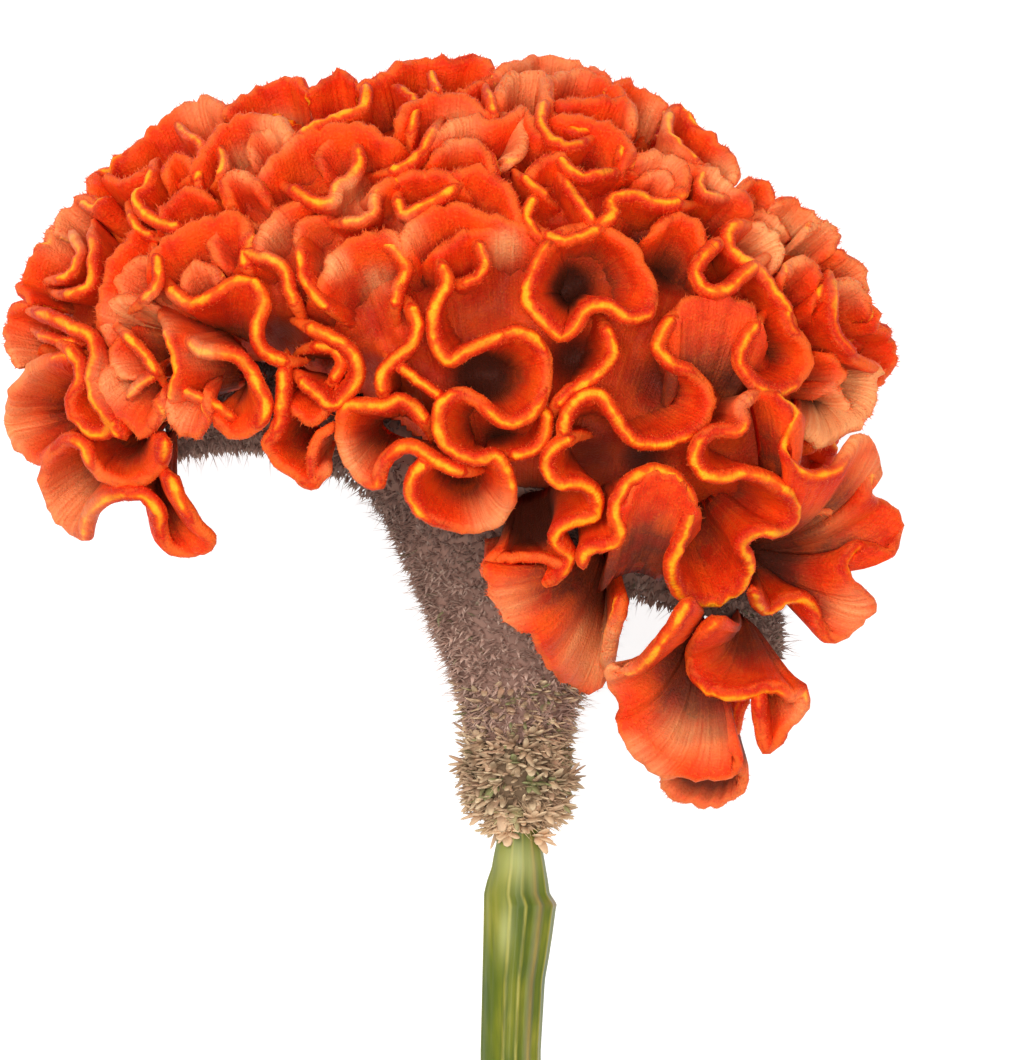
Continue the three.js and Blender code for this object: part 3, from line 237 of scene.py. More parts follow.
    dict(rim=[2.3, 106, 1.2, 103.5, 2, 101.5, 4.3, 99], lift=1),
    dict(rim=[5, 100, 7.3, 99, 10.5, 100, 13, 101.2], lift=2, bright=True),
    dict(rim=[-4.9, 125, -4, 121.5], lift=1),
    dict(rim=[-14.5, 128.3, -13.3, 125]),
    dict(rim=[-19, 125.3, -17, 123.3, -17.6, 118]),
    dict(rim=[-20, 119.5, -18.5, 122, -14.6, 124, -8.9, 123.8, -5.5, 121.5], shift=(0, -6)),
    dict(rim=[-3.5, 124, -2.2, 127.2, 0.7, 128.3, 4.6, 127.7, 5.2, 123.5], shift=(0, -6)),
    dict(rim=[-15.1, 115.9, -11.7, 118.7, -7.2, 120.4, -4.4, 119.3, -1, 120.5, 1.2, 121.5, 3.5, 118],
         shift=(0, -6)),
    dict(rim=[-14, 113.6, -10, 116.4, -5, 114.7, -3.8, 110.8], shift=(0, -5)),
    dict(rim=[-10, 110.8, -6.7, 111.7, -2.7, 109.7, -0.5, 106.9, 0.7, 102.9], shift=(-3, -6)),
    dict(rim=[1.8, 110.8, 4, 113.1, 7.4, 113.6, 10.2, 110.8], shift=(0, -4)),
    dict(rim=[7.4, 120.4, 13, 119.8, 17.6, 117.6, 19.3, 114.8, 18.7, 112], shift=(-4, -6)),
    dict(rim=[5.2, 127.2, 8.6, 128.8, 13, 128.3, 16.4, 126, 19.3, 122.6], shift=(-2, -6)),
    dict(rim=[8, 123.2, 13.6, 123.8, 18.7, 123.2, 19.5, 120.4], shift=(-1, -5)),
    dict(rim=[25.2, 121, 25, 118.5, 26.7, 116, 29.5, 113.8], lift=1),
    dict(rim=[31.3, 112, 30, 109.5, 31, 107.7, 34, 107]),
    dict(rim=[19.8, 113.6, 24.3, 114.2, 27.7, 112.5, 28.3, 108.6, 26.6, 106.9], shift=(-3, -5)),
    dict(rim=[28.3, 112.5, 32.2, 111.9, 35.6, 109.1, 39, 106.3], shift=(-3, -6)),
    dict(rim=[22.6, 101.8, 26, 104, 29.4, 102.9, 31, 99.5], shift=(-1, -6)),
    dict(rim=[36.5, 102.7, 34.6, 101.8, 34.3, 99.3, 36, 97, 38.3, 96, 39.3, 95.3, 41, 93.3, 43, 90.7,
         45, 87.7], lift=1),
    dict(rim=[32.3, 98.8, 29.7, 96.3, 28.7, 94, 30, 91.3, 32.3, 90.3, 34.7, 91, 37, 93.3, 39.3, 95.3],
         lift=2),
    dict(rim=[44.6, 94.5, 46.3, 96.7, 49.7, 96.2, 50.2, 93.9], shift=(-2, -4)),
    dict(rim=[48.5, 101.8, 50.2, 103.5, 53.6, 101.2, 53.1, 99], shift=(-3, -4)),
    dict(rim=[50.2, 90.5, 52.5, 93, 57, 92.8, 59.8, 88.8, 60.4, 86.6], shift=(-4, -4)),
    dict(rim=[52.5, 93, 52.7, 89.5, 52.3, 87, 53.5, 83.5, 55.2, 81, 58, 79, 60, 78.5], lift=2),
    dict(rim=[60.5, 78, 60, 75, 59, 71.5, 57, 68.8, 53.5, 66.8, 50, 65.2, 47.5, 66.5], root=(50, 78, 10),
         pull=0.6, lift=1, pale=0.9, plain=True),

    dict(rim=[-9, 125.5, -4.5, 127.3, 0, 126.5], shift=(0, -6), lift=-4, plain=True),
    dict(rim=[37, 104, 41, 105, 44.5, 102.5], shift=(-3, -4), lift=-4, plain=True),

    # the outline, left round to right
    dict(rim=[-84, 78, -86.3, 84, -85.5, 88.5, -82, 90.5], edge=True),
    dict(rim=[-82, 89, -83.8, 92.3, -83, 95, -80.5, 99.5, -78.3, 104], edge=True),
    dict(rim=[-78.5, 101, -76.5, 105.5, -72.5, 108, -70, 106], edge=True),
    dict(rim=[-72, 107, -71.8, 110.5, -65, 115.5, -61, 119.5, -55.5, 123.5, -51.5, 124, -48, 122.8],
         edge=True),
    dict(rim=[-50, 121, -45, 125.3, -40, 127.3, -37, 127.5, -34.5, 125.8], edge=True),
    dict(rim=[-36, 124.5, -32, 127.5, -29, 128.5, -26.5, 126.7], edge=True),
    dict(rim=[-28, 125, -21, 128.8, -18, 130.2, -11, 130.7, -7, 131, -3, 129], edge=True),
    dict(rim=[-5, 128, 0, 130.3, 5, 131.5, 8, 131, 14, 128.5, 16, 126.5], edge=True),
    dict(rim=[14, 126, 19, 127, 23, 124.5, 26, 122.5], edge=True),
    dict(rim=[24, 122.5, 27, 122.5, 30, 119.5, 34, 115.8, 36.8, 112, 36.3, 109], edge=True),
    dict(rim=[36, 107.5, 39, 110.3, 41, 110, 43.5, 106], edge=True),
    dict(rim=[42, 106, 46, 107, 50, 103.5, 53, 102, 54, 99], edge=True),
    dict(rim=[52.5, 99, 57.8, 95.5, 58.5, 90, 59.5, 86], edge=True),
    dict(rim=[58, 87, 63, 84.5, 63.8, 82.5, 62.8, 78, 59.5, 75], edge=True, lift=-3),
]
print(len(FOLDS), "folds")

# %% [markdown]
# ## From a rim to a sheet
#
# Drawn points are few, so a curve is run through them and cut at even steps. A centripetal
# Catmull-Rom curve passes through every point and never loops between two that are close.
#
# A ridge never stops short. Past its last drawn point it runs on for a few millimetres, still turning,
# and dives under its neighbours. In some places it also rolls over, so that its thread faces the other
# way and only a broad lip is seen. Those places follow no rule, so they are a short list of round spots.
#
# Below its rim the sheet is calmer than the rim, as cloth is where it hangs from a rail. So the foot of
# the sheet is the rim itself, averaged over a stretch to both sides, and sunk into the dome. Where the
# rim swings out, the sheet flares after it, and that makes the cups and trumpets without any more work.

# %% The dome that the rims lie on, and the comb seen from the front
DOME = dict(x=-11, y=78, half_width=76.5, half_height=54, front=42, back=35)   # mm
EDGE_Z = 5                      # mm, the outline stands this far in front of the middle plane
OUTLINE = [                     # left round to right: x, y, x, y
    -82, 70, -85, 77, -86, 85, -83.5, 92, -79, 101, -71, 108, -62, 117.5, -54, 123, -45, 125, -36, 126.5,
    -28, 127.5, -18, 130, -5, 129.5, 5, 131, 14, 128, 24, 123.5, 32, 117, 36.5, 109.5, 43, 107, 50, 103,
    55.5, 97, 59, 90, 62, 83, 61, 76,
]
LOWER_EDGE = [                  # and its lower edge, right round to left
    58, 68, 57, 57, 54, 47, 47, 38, 38, 38, 30, 46, 14, 50, 0, 50, -12, 54, -22, 61, -31, 68, -44, 72,
    -58, 73, -72, 71,
]
COMB_EDGE = np.array(OUTLINE + LOWER_EDGE, float).reshape(-1, 2)


def depth_inside(x, y):
    """How far a place is inside the comb's outline, in mm; negative outside."""
    place = np.stack([x, y], axis=-1)[..., None, :]
    a, b = COMB_EDGE, np.roll(COMB_EDGE, -1, axis=0)
    share = np.clip(((place - a) * (b - a)).sum(-1) / ((b - a) ** 2).sum(-1), 0, 1)
    away = np.linalg.norm(place - a - share[..., None] * (b - a), axis=-1).min(-1)
    x, y = place[..., 0], place[..., 1]
    crossed = (a[:, 1] > y) != (b[:, 1] > y)
    climb = np.where(b[:, 1] == a[:, 1], 1, b[:, 1] - a[:, 1])
    reach = a[:, 0] + (y - a[:, 1]) * (b - a)[:, 0] / climb
    inside = (crossed & (x < reach)).sum(-1) % 2 == 1
    return np.where(inside, away, -away)


print("the middle of the dome is", round(float(depth_inside(DOME["x"], DOME["y"]))), "mm inside the outline")

# %% The rules of a sheet
TALL = 17                       # mm, a sheet's height
GATHER = 15                     # mm, the stretch that its foot is averaged over,
GATHER_MOST = 0.45              # but no more than this share of a short rim
DROOP = 0.018                   # 1/mm, wide flares hang lower
TAIL = 5.5                      # mm, how far a rim runs on past its drawn end
SHORT_TAIL = (1.5, 0.5)         # mm and share of the rim: the longest tail of a short one
TAIL_TURN = 0.16                # radians per mm, the tightest turn of a tail
TAIL_ROOM = 7                   # mm, a rim that ends nearer to the outline has a shorter tail,
LEAST_TAIL = 0.3                # but no less than this share of it
THREAD_ENDS = 2.6               # mm, how far out on a tail the thread is gone
DIVE = 8                        # mm, how deep the end of a tail has sunk
DIVE_CURVE = 1.3                # over 1, it goes down slowly at first
ROLL_DROP = 2.0                 # mm, a rolled lip lies lower
STEP = 1.0                      # mm, between the cuts,
LEAST_CUTS = 6                  # but no fewer than this many
FINE = 24                       # steps between two drawn points, before the curve is cut evenly
ROLLED = [                      # x, y, radius, strength of the places where the rim rolls over
    (13, 100, 7, 1), (21, 94, 6, 1), (-84, 72, 9, 1), (-80, 61, 4, 1), (-80, 57, 6, 1), (-76, 51.5, 3, 1),
    (-67, 62, 2.6, 1), (-63.5, 61, 3, 1), (-60, 61.5, 2.6, 1), (-53, 48.5, 5, 1), (4.8, 77, 4, 0.7),
    (48.5, 79.5, 5, 0.9), (31, 73, 6, 0.7), (59, 72, 8, 1), (57.5, 66, 4, 0.8), (62.5, 53, 5, 1),
    (56.5, 36.5, 5, 1), (44, 18, 5.5, 1), (-39, 62, 5, 1), (0, 42.5, 6, 1), (15, 19, 7.5, 1), (31, 7, 8, 1),
    (22, 11, 5, 1), (29, 31, 4, 0.7), (-7, 51.5, 7, 0.8), (-28.5, 64, 6, 1), (-46, 66.5, 4.5, 0.9),
    (-8, 74, 3, 0.4),
]


def spots(x, y, table):
    """How strong the round spots of a table are at places of the face. Each fades out from its middle."""
    strength = np.zeros(np.shape(x))
    for spot_x, spot_y, radius, strongest in table:
        here = strongest * np.exp(-(((x - spot_x) ** 2 + (y - spot_y) ** 2) / radius ** 2) ** 1.5)
        strength = np.maximum(strength, here)
    return strength


def dome_height(x, y, side):
    """Height of the dome over the middle plane, at places on the face (side 1) or the back (-1)."""
    u = (x - DOME["x"]) / DOME["half_width"]
    v = (y - DOME["y"]) / DOME["half_height"]
    rise = DOME["front"] if side > 0 else DOME["back"]
    return np.hypot(rise * np.sqrt(np.clip(1 - u * u - v * v, 0, None)), EDGE_Z)


def unit(vectors):
    """Vectors of length one; a vector of no length stays as it is."""
    length = np.linalg.norm(vectors, axis=-1, keepdims=True)
    return vectors / np.maximum(length, 1e-9)


def inward(places, side):
    """The way into the dome."""
    rise = DOME["front"] if side > 0 else DOME["back"]
    x, y, z = places.T
    slopes = [(x - DOME["x"]) / DOME["half_width"] ** 2, (y - DOME["y"]) / DOME["half_height"] ** 2]
    return unit(-np.column_stack([*slopes, z / rise ** 2]))


def even_curve(numbers, ring):
    """A centripetal Catmull-Rom curve through [x, y, x, y, ...], cut at even steps, and its length."""
    points = np.array(numbers, float).reshape(-1, 2)
    if ring:
        points = np.vstack([points[-1], points, points[:2]])
    else:
        points = np.vstack([2 * points[0] - points[1], points, 2 * points[-1] - points[-2]])
    fine = []
    for a, b, c, d in zip(points, points[1:], points[2:], points[3:]):
        t1, t2, t3 = np.cumsum([math.sqrt(math.dist(*pair)) for pair in ((a, b), (b, c), (c, d))])
        t = np.linspace(t1, t2, FINE, endpoint=False)[:, None]
        ab = a + (b - a) * t / t1
        bc = b + (c - b) * (t - t1) / (t2 - t1)
        cd = c + (d - c) * (t - t2) / (t3 - t2)
        abc = ab + (bc - ab) * t / t2
        bcd = bc + (cd - bc) * (t - t1) / (t3 - t1)
        fine.append(abc + (bcd - abc) * (t - t1) / (t2 - t1))
    fine = np.vstack([*fine, points[-2]])
    run = np.concatenate([[0], np.cumsum(np.linalg.norm(np.diff(fine, axis=0), axis=1))])
    steps = max(LEAST_CUTS, round(run[-1] / STEP))
    at = np.linspace(0, run[-1], steps + 1)
    return np.column_stack([np.interp(at, run, fine[:, k]) for k in range(2)]), run[-1]


def averaged(line, reach, pace, ring):
    """Each point of a line replaced by the weighted middle of its neighbours."""
    count = len(line)
    span = math.ceil(2 * reach / pace)
    offsets = np.arange(-span, span + 1)
    weights = np.exp(-0.5 * (offsets * pace / reach) ** 2)
    near = np.arange(count)[:, None] + offsets
    near = near % (count - 1) if ring else np.clip(near, 0, count - 1)
    return (line[near] * weights[None, :, None]).sum(axis=1) / weights.sum()


def tail(line, pace, long):
    """Points that carry a line on past its last point, turning as it turned there."""
    leg = np.diff(line[-5:], axis=0)
    heading = np.unwrap(np.arctan2(leg[:, 1], leg[:, 0]))
    rate = np.clip((heading[-1] - heading[0]) / (len(heading) - 1), -TAIL_TURN * pace, TAIL_TURN * pace)
    heading = heading[-1] + rate * np.arange(1, round(long / pace) + 1)
    return line[-1] + np.cumsum(pace * np.column_stack([np.cos(heading), np.sin(heading)]), axis=0)


def with_tails(line, pace, length):
    """A line with a tail at both ends, and how far each of its points is out on a tail."""
    room = np.clip(depth_inside(*line[[0, -1]].T) / TAIL_ROOM, LEAST_TAIL, 1)
    long = room * min(TAIL, SHORT_TAIL[0] + SHORT_TAIL[1] * length)
    before, after = tail(line[::-1], pace, long[0])[::-1], tail(line, pace, long[1])
    out = [np.arange(len(before), 0, -1), np.zeros(len(line)), np.arange(1, len(after) + 1)]
    return np.vstack([before, line, after]), pace * np.concatenate(out)


def rim_and_foot(fold, side):
    """The crest of a fold, the line at its foot, how far each cut is along it, in mm, the way into the
    flesh there, and from 0 to 1 how far its thread is hidden, how far it has rolled over, and how far
    out on a tail it is."""
    if "places" in fold:
        return belt_rim_and_foot(fold)
    ring = fold.get("ring", False)
    line, length = even_curve(fold["rim"], ring)
    pace = length / (len(line) - 1)
    past = np.zeros(len(line))
    if not ring and not fold.get("edge"):
        line, past = with_tails(line, pace, length)
    rolled = spots(*line.T, ROLLED) if side > 0 and not fold.get("bright") else np.zeros(len(line))
    hidden = np.maximum(np.clip(past / THREAD_ENDS, 0, 1), rolled)
    foot = averaged(line, min(GATHER, GATHER_MOST * length), pace, ring)
    flare = np.linalg.norm(line - foot, axis=1)
    sunk = DROOP * flare ** 2 + DIVE * (past / TAIL) ** DIVE_CURVE + ROLL_DROP * rolled
    z = side * (dome_height(*line.T, side) + fold.get("lift", 0) - sunk)
    rim = np.column_stack([line, z])
    foot = np.column_stack([foot + np.array(fold.get("shift", (0, 0))), z])
    foot = foot + inward(foot, side) * fold.get("tall", TALL)
    if "root" in fold:
        foot = foot + (np.array(fold["root"]) - foot) * fold["pull"]
    return rim, foot, pace * np.arange(len(rim)), inward(rim, side), hidden, rolled, past / TAIL


rim, foot, along, *_ = rim_and_foot(FOLDS[4], 1)
print("the fifth fold is", round(along[-1]), "mm long with its tails, cut in", len(rim) - 1)

# %% [markdown]
# ## The thickness of a sheet
#
# The sheet is flesh, not paper. Its edge swells into a welt almost 3 mm thick, and right along the welt
# runs the growing line, the yellow thread. Under the welt the sheet is thin, with shallow flutes where
# the rim has grown faster than the foot.
#
# So each fold is a grid of quads, wrapped round the section of a sheet: up one face, round the welt,
# down the other face. `create_grid` makes the quads and the rule places them. Three numbers are kept on
# every point: how far it is along the rim, how far from the yellow thread, and how deep below the crest.
# The material paints the thread and the fine radial streaks from them, so the paint follows the flesh.

# %% Measures of a sheet
WELT = 1.35                     # mm, half the welt's thickness
SHEET = 0.75                    # mm, half the sheet's thickness below it
WELT_FADE = 3.0                 # mm, how soon one turns into the other
FOOT_FROM = 0.8                 # share of its height below which the sheet thins out to nothing
STOUT = dict(least=0.7, from_share=0.5, over=60)   # short folds have a thinner welt; mm of rim
THINNED = dict(hidden=0.15, gone=0.45)   # what the welt loses where its thread is hidden, and on a tail
ROUNDED = 2.4                   # mm, how far from its ends a fold is rounded off
ROUND_CUTS = 11                 # points round the welt
FACE_CUTS = 9                   # points down each face,
CLOSER = 1.6                    # closer together towards the welt
SWAY = 0.35                     # mm, how far the rim strays into the dome and out of it
CRIMP = dict(fold=0.4, fan=0.7) # mm, how far it goes up and down
FLUTE = 0.34                    # mm, how far the flutes stand out
WAVES = dict(sway=(5.1, 8.3, 13.7), crimp=(2.7, 3.8, 6.1), flute=(2.3, 3.1, 4.7))   # mm, their lengths
OVERHANG = dict(share=0.6, sunk=2.4)     # how far sideways, and mm inwards, a sheet turns down to its foot
THREAD = dict(crest=0.55, fold=(-0.85, 0.95), fan=(0.75, 1.35), calm=3)   # see face_angle; calm is in mm
random = np.random.default_rng(4171)
print("a sheet is", 2 * WELT, "mm thick at its welt and", 2 * SHEET, "mm below it")


# %% Rules for the quads of a fold
def wander(along, waves, draw, ring=False):
    """A smooth random line, made of a few waves with the given lengths in mm; it stays within about 1.
    On a ring the waves are fitted to its length, so that it ends as it began."""
    if ring:
        waves = [along[-1] / max(1, round(along[-1] / wave)) for wave in waves]
    phases = draw.uniform(0, 2 * math.pi, len(waves))
    return sum(np.sin(2 * math.pi * along / wave + phase) for wave, phase in zip(waves, phases)) / len(waves)


def slope(array, ring):
    """Differences along the rim; a ring's last row is its first again."""
    if not ring:
        return np.gradient(array, axis=0)
    return np.gradient(np.concatenate([array[-2:-1], array, array[1:2]]), axis=0)[1:-1]


def turned_away(fold):
    """Whether a fold's thread runs behind its crest: on the outline and on fans that open upwards."""
    fan = fold.get("edge") or fold.get("plain") or fold.get("shift", (0, 0))[1] < 0
    return fan and not fold.get("bright")


def face_angle(fold, down, across, into):
    """Where round the welt the yellow thread runs, in radians from the crest: towards the eye on most folds,
    away from it on the fans. THREAD holds how far each kind leans into the flesh, and its largest angle."""
    inwards, most = THREAD["fan" if turned_away(fold) else "fold"]
    wanted = unit(inwards * into - THREAD["crest"] * down)
    turn = np.arctan2((wanted * across).sum(-1), -(wanted * down).sum(-1))
    return np.clip(averaged(turn[:, None], THREAD["calm"], STEP, fold.get("ring", False))[:, 0], -most, most)


def middle_of_sheet(rim, bend, foot):
    """Rows of places from the rim down to the foot, how deep each is below the crest, and how deep the foot
    is. A row is a curve that leaves the rim for the bend and then turns to the foot."""
    t = np.linspace(0, 1, 25)[None, :, None]
    curve = (1 - t) ** 2 * rim[:, None] + 2 * t * (1 - t) * bend[:, None] + t * t * foot[:, None]
    run = np.cumsum(np.linalg.norm(np.diff(curve, axis=1), axis=2), axis=1)
    run = np.column_stack([np.zeros(len(rim)), run])
    depth = WELT + (run[:, -1:] - WELT) * np.linspace(0, 1, FACE_CUTS + 1) ** CLOSER
    middle = np.stack([np.column_stack([np.interp(d, r, c[:, k]) for k in range(3)])
                       for d, r, c in zip(depth, run, curve)])
    return middle, depth, run[:, -1:]


def end_sizes(along, hidden, gone, ring):
    """The welt's size at each cut of a fold as a share of the full one, nothing at its two ends."""
    length = along[-1]
    stout = np.clip(STOUT["from_share"] + length / STOUT["over"], STOUT["least"], 1)
    ends = stout * (1 - THINNED["hidden"] * hidden - THINNED["gone"] * gone)
    if ring:
        return ends
    to_end = np.minimum(along, length - along) / ROUNDED
    return ends * np.sqrt(np.clip(1 - (1 - np.minimum(1, to_end)) ** 2, 0, 1))


print(sum(bool(turned_away(fold)) for fold in FOLDS), "of the drawn folds turn their thread away")

# %% Place the quads
def fold_points(fold, side, draw):
    """Places of a fold's quads (cuts along the rim, points round the section) and their three numbers."""
    rim, foot, along, into, hidden, rolled, gone = rim_and_foot(fold, side)
    ring = fold.get("ring", False)
    rim = rim + into * (SWAY * wander(along, WAVES["sway"], draw, ring))[:, None]
    crimp = CRIMP["fan" if turned_away(fold) else "fold"]
    rim = rim + unit(rim - foot) * (crimp * wander(along, WAVES["crimp"], draw, ring))[:, None]
    drop = foot - rim
    sideways = drop - (drop * into).sum(1, keepdims=True) * into
    bend = rim + OVERHANG["share"] * sideways + into * (OVERHANG["sunk"] * (1 - rolled))[:, None]
    middle, depth, lowest = middle_of_sheet(rim, bend, foot)
    down = unit(np.gradient(middle, axis=1))
    travel = unit(slope(middle, ring)) + 2 * unit(slope(rim, ring))[:, None]
    across = unit(np.cross(travel, down))

    # thickness: the welt, the thin sheet, and nothing at the foot and at both ends
    ends = end_sizes(along, hidden, gone, ring)
    half = SHEET + (WELT - SHEET) * np.exp(-((depth - WELT) / WELT_FADE) ** 2)
    past_foot = (np.linspace(0, 1, FACE_CUTS + 1) - FOOT_FROM) / (1 - FOOT_FROM)
    half = half * np.sqrt(np.clip(1 - past_foot.clip(0) ** 2, 0, 1)) * ends[:, None]
    flutes = FLUTE * wander(along, WAVES["flute"], draw, ring)[:, None]
    flutes = flutes * np.sin(math.pi * np.clip(depth / lowest, 0, 1)) ** 0.7
    middle = middle + across * flutes[..., None]

    # up the first face, round the welt, down the second
    angles = np.linspace(-math.pi / 2, math.pi / 2, ROUND_CUTS)
    crest = middle[:, :1]
    arc = crest + (WELT * ends)[:, None, None] * (across[:, :1] * np.sin(angles)[None, :, None]
                                                  - down[:, :1] * np.cos(angles)[None, :, None])
    first = middle - across * half[..., None]
    second = middle + across * half[..., None]
    places = np.concatenate([first[:, :0:-1], arc, second[:, 1:]], axis=1)

    # the three numbers
    thread = face_angle(fold, down[:, 0], across[:, 0], into)
    face_reach = WELT * math.pi / 2 + depth[:, 1:] - WELT
    welt_reach = np.broadcast_to(angles * WELT, (len(rim), ROUND_CUTS))
    around = np.concatenate([-face_reach[:, ::-1], welt_reach, face_reach], axis=1) - thread[:, None] * WELT
    welt_depth = np.broadcast_to(WELT * (1 - np.cos(angles)), (len(rim), ROUND_CUTS))
    below = np.concatenate([depth[:, :0:-1], welt_depth, depth[:, 1:]], axis=1)
    measures = np.stack([np.broadcast_to(along[:, None], around.shape), around, below], axis=2)
    frames = dict(crest=crest[:, 0], down=down[:, 0], across=across[:, 0], along=along, thread=thread,
                  ends=ends, hidden=hidden, gone=gone)
    return places, measures, frames


places, measures, frames = fold_points(FOLDS[4], 1, random)
print("grid of", places.shape[0], "by", places.shape[1], "points, its thread off centre by up to",
      round(math.degrees(abs(frames["thread"]).max())), "degrees")

# %% [markdown]
# ## Round the edge, and what the drawn folds leave bare
#
# The comb is a thick disc, and its ruffles run round the edge of it, from the face to the back. Seen
# from the side they stand like the pages of a wet book. Each is a rim that crosses the edge as a river
# crosses a plain, its heading swinging evenly from side to side, which makes round bends and no corners.
# It runs from the dome of the face to that of the back, a little inside the outline. And where no fold
# is near, small fans are sown on the face and the back, each an arc that opens outwards. They are
# random, but no fan comes near a deep place or another fan.

# %% Fold the edge
BELT = dict(gap=5.4, first=3, last=2, step=0.9)   # mm, between two ruffles, at both ends, and between cuts
BELT_SHEET = dict(deep=14, calm=7)      # mm, its height, and the stretch that its foot is averaged over
BELT_INSET = dict(edge=2.6, dome=4.5, stray=1.2, lean=0.7)  # mm inside the outline, and more at the domes
BELT_REACH = dict(face=0.5, back=4)     # mm, how far a rim runs on past the dome of the face and of the back
BENDS = dict(every=(11, 19), uneven=0.25, swing=(0.85, 1.35), aslant=0.15)   # mm; turns; radians
BELT_ENDS = dict(least=1, over=3, dive=3)   # mm, where a ruffle's ends sink and lose their thread
BELT_WAVES = dict(bends=(23, 37), inset=(9, 14), thread=(11, 19))   # mm
THREAD_SHOWS = (0.3, 1.5)       # how far a ruffle's thread is hidden on the whole, and how much that wanders


def ruffles_of_the_edge(draw):
    """Folds that cross the outline from the face to the back, as rims already in space."""
    line, length = even_curve(OUTLINE + LOWER_EDGE[:6], False)
    run = np.linspace(0, length, len(line))
    step = np.gradient(line, axis=0)
    inwards = unit(np.column_stack([step[:, 1], -step[:, 0]]))
    made = []
    for start in np.arange(BELT["first"], length - BELT["last"], BELT["gap"]):
        x, y = (np.interp(start, run, line[:, k]) for k in range(2))
        tops = [float(dome_height(x, y, side)) for side in (1, -1)]
        tops[1] += BELT_REACH["back"]
        flow = np.arange(0, 3 * sum(tops), BELT["step"])
        turns = flow / draw.uniform(*BENDS["every"]) + draw.random()
        turns = turns + BENDS["uneven"] * wander(flow, BELT_WAVES["bends"], draw)
        heading = draw.uniform(*BENDS["swing"]) * np.sin(2 * math.pi * turns)
        heading = heading + draw.uniform(-BENDS["aslant"], BENDS["aslant"])
        z = np.cumsum(BELT["step"] * np.cos(heading)) - tops[1]
        s = start + np.cumsum(BELT["step"] * np.sin(heading))
        crossing = z < tops[0] + BELT_REACH["face"]
        z, s = z[crossing], np.clip(s - s[crossing].mean() + start, 0, length)[crossing]
        away = np.abs(z) / np.where(z > 0, tops[0], tops[1])
        near = np.column_stack([np.interp(s, run, line[:, k]) for k in range(2)])
        way_in = np.column_stack([np.interp(s, run, inwards[:, k]) for k in range(2)])
        stray = BELT_INSET["stray"] * wander(z - z[0], BELT_WAVES["inset"], draw)
        inset = BELT_INSET["edge"] + BELT_INSET["dome"] * away ** 2 + BELT_INSET["stray"] + stray
        hidden, wanders = THREAD_SHOWS
        made.append(dict(
            places=np.column_stack([near + way_in * inset[:, None], z]),
            into=unit(np.column_stack([way_in, -BELT_INSET["lean"] * np.sign(z) * away ** 2])),
            covered=np.clip(hidden + wanders * wander(z - z[0], BELT_WAVES["thread"], draw), 0, 1)))
    return made


def belt_rim_and_foot(fold):
    """The same facts as rim_and_foot gives, for a rim that is already in space."""
    rim, into = fold["places"], fold["into"]
    along = np.concatenate([[0], np.cumsum(np.linalg.norm(np.diff(rim, axis=0), axis=1))])
    to_end = np.minimum(along, along[-1] - along)
    sunk = np.clip(1 - (to_end - BELT_ENDS["least"]) / BELT_ENDS["over"], 0, 1)
    hidden = np.maximum(sunk, fold["covered"])
    foot = averaged(rim, BELT_SHEET["calm"], along[-1] / (len(rim) - 1), False) + into * BELT_SHEET["deep"]
    rim = rim + into * (BELT_ENDS["dive"] * sunk ** 2)[:, None]
    return rim, foot, along, into, hidden, 0 * sunk, 0 * sunk


belt = ruffles_of_the_edge(random)
print(len(belt), "ruffles round the edge")

# %% Spots on the face: x, y, radius, strength
FADED = [
    (-84, 79, 6, 0.6), (-85, 69, 5, 0.8), (-76, 102, 5, 0.7), (-66, 87, 3, 0.6), (-66, 76.5, 4, 0.8),
    (-55.5, 71, 3, 0.6), (-75, 56, 6, 0.7), (-53, 122, 4, 0.6), (-40, 118, 3.5, 0.8), (-45, 112, 3.5, 0.6),
    (-27, 106, 3.5, 0.9), (-40, 100, 3.5, 0.6), (-59, 87, 3.5, 0.6), (-52, 81, 3, 0.5), (-30, 95, 2.5, 0.8),
    (-23, 92.5, 2.5, 0.7), (-28, 63, 4, 0.7), (-18, 100, 3, 0.5), (-10, 118, 4, 0.6), (1, 126, 5, 0.7),
    (8, 130, 5, 0.6), (22, 120, 4, 0.6), (24, 112, 4, 0.6), (34, 110, 3.5, 0.8), (44, 100, 5.5, 1),
    # the spot at -2, 98 is a painted highlight on a crest, not a faded place
    (50, 102, 4, 0.7), (56, 93, 4, 0.6), (-2, 98, 2.8, 0.9), (-4, 54, 4, 0.7), (54, 70, 6, 1),
    (37, 72.5, 3, 0.35), (60, 62, 4, 0.5), (52, 52, 4, 0.2), (56, 38, 4, 0.6), (-2, 39, 4, 0.6),
    (13, 31, 6, 0.9), (27, 18, 4, 0.6), (22, 11, 3.5, 0.6), (32, 17, 4, 0.4), (19, 15, 3, 0.6),
    (47, 22, 3, 0.5),
]
DEEP_AND_SHADED = [                        # holes, painted with shade where the heart also sinks deeper; a strength over 1 darkens a hole sooner, and sinks it deeper
    (8, 91.5, 4.5, 1), (-6, 77, 5, 1), (9, 80, 4, 0.7), (-15, 94.5, 2.8, 0.8), (20, 98, 3, 0.7),
    (28, 94, 3.2, 0.6), (24, 77, 4, 0.6), (42, 83, 3, 0.8), (20.5, 63.5, 4, 0.7), (-3, 66.5, 3, 0.8),
    (-39, 84, 3, 0.5), (-27, 67, 3, 0.5), (42, 46, 6, 1), (-70, 83, 2.5, 0.6),
    (28, 27, 7, 0.7), (35, 21, 5, 0.5), (40, 33, 5, 0.6), (22, 47, 6, 0.7), (12, 43, 6, 0.6),
    (2, 53.5, 4.5, 3), (24.5, 95, 3.5, 0.8), (36, 76, 3, 1), (12, 66, 5, 0.5), (49, 74, 3.5, 1),
]
CALM = [(0, 70, 49, 32), (-78, 73, 8, 8), (-47, 87, 5, 5)]   # x, y, half width, half height: smooth sheets
print(len(FADED), "faded places,", len(DEEP_AND_SHADED), "deep ones and", len(CALM), "calm ones")

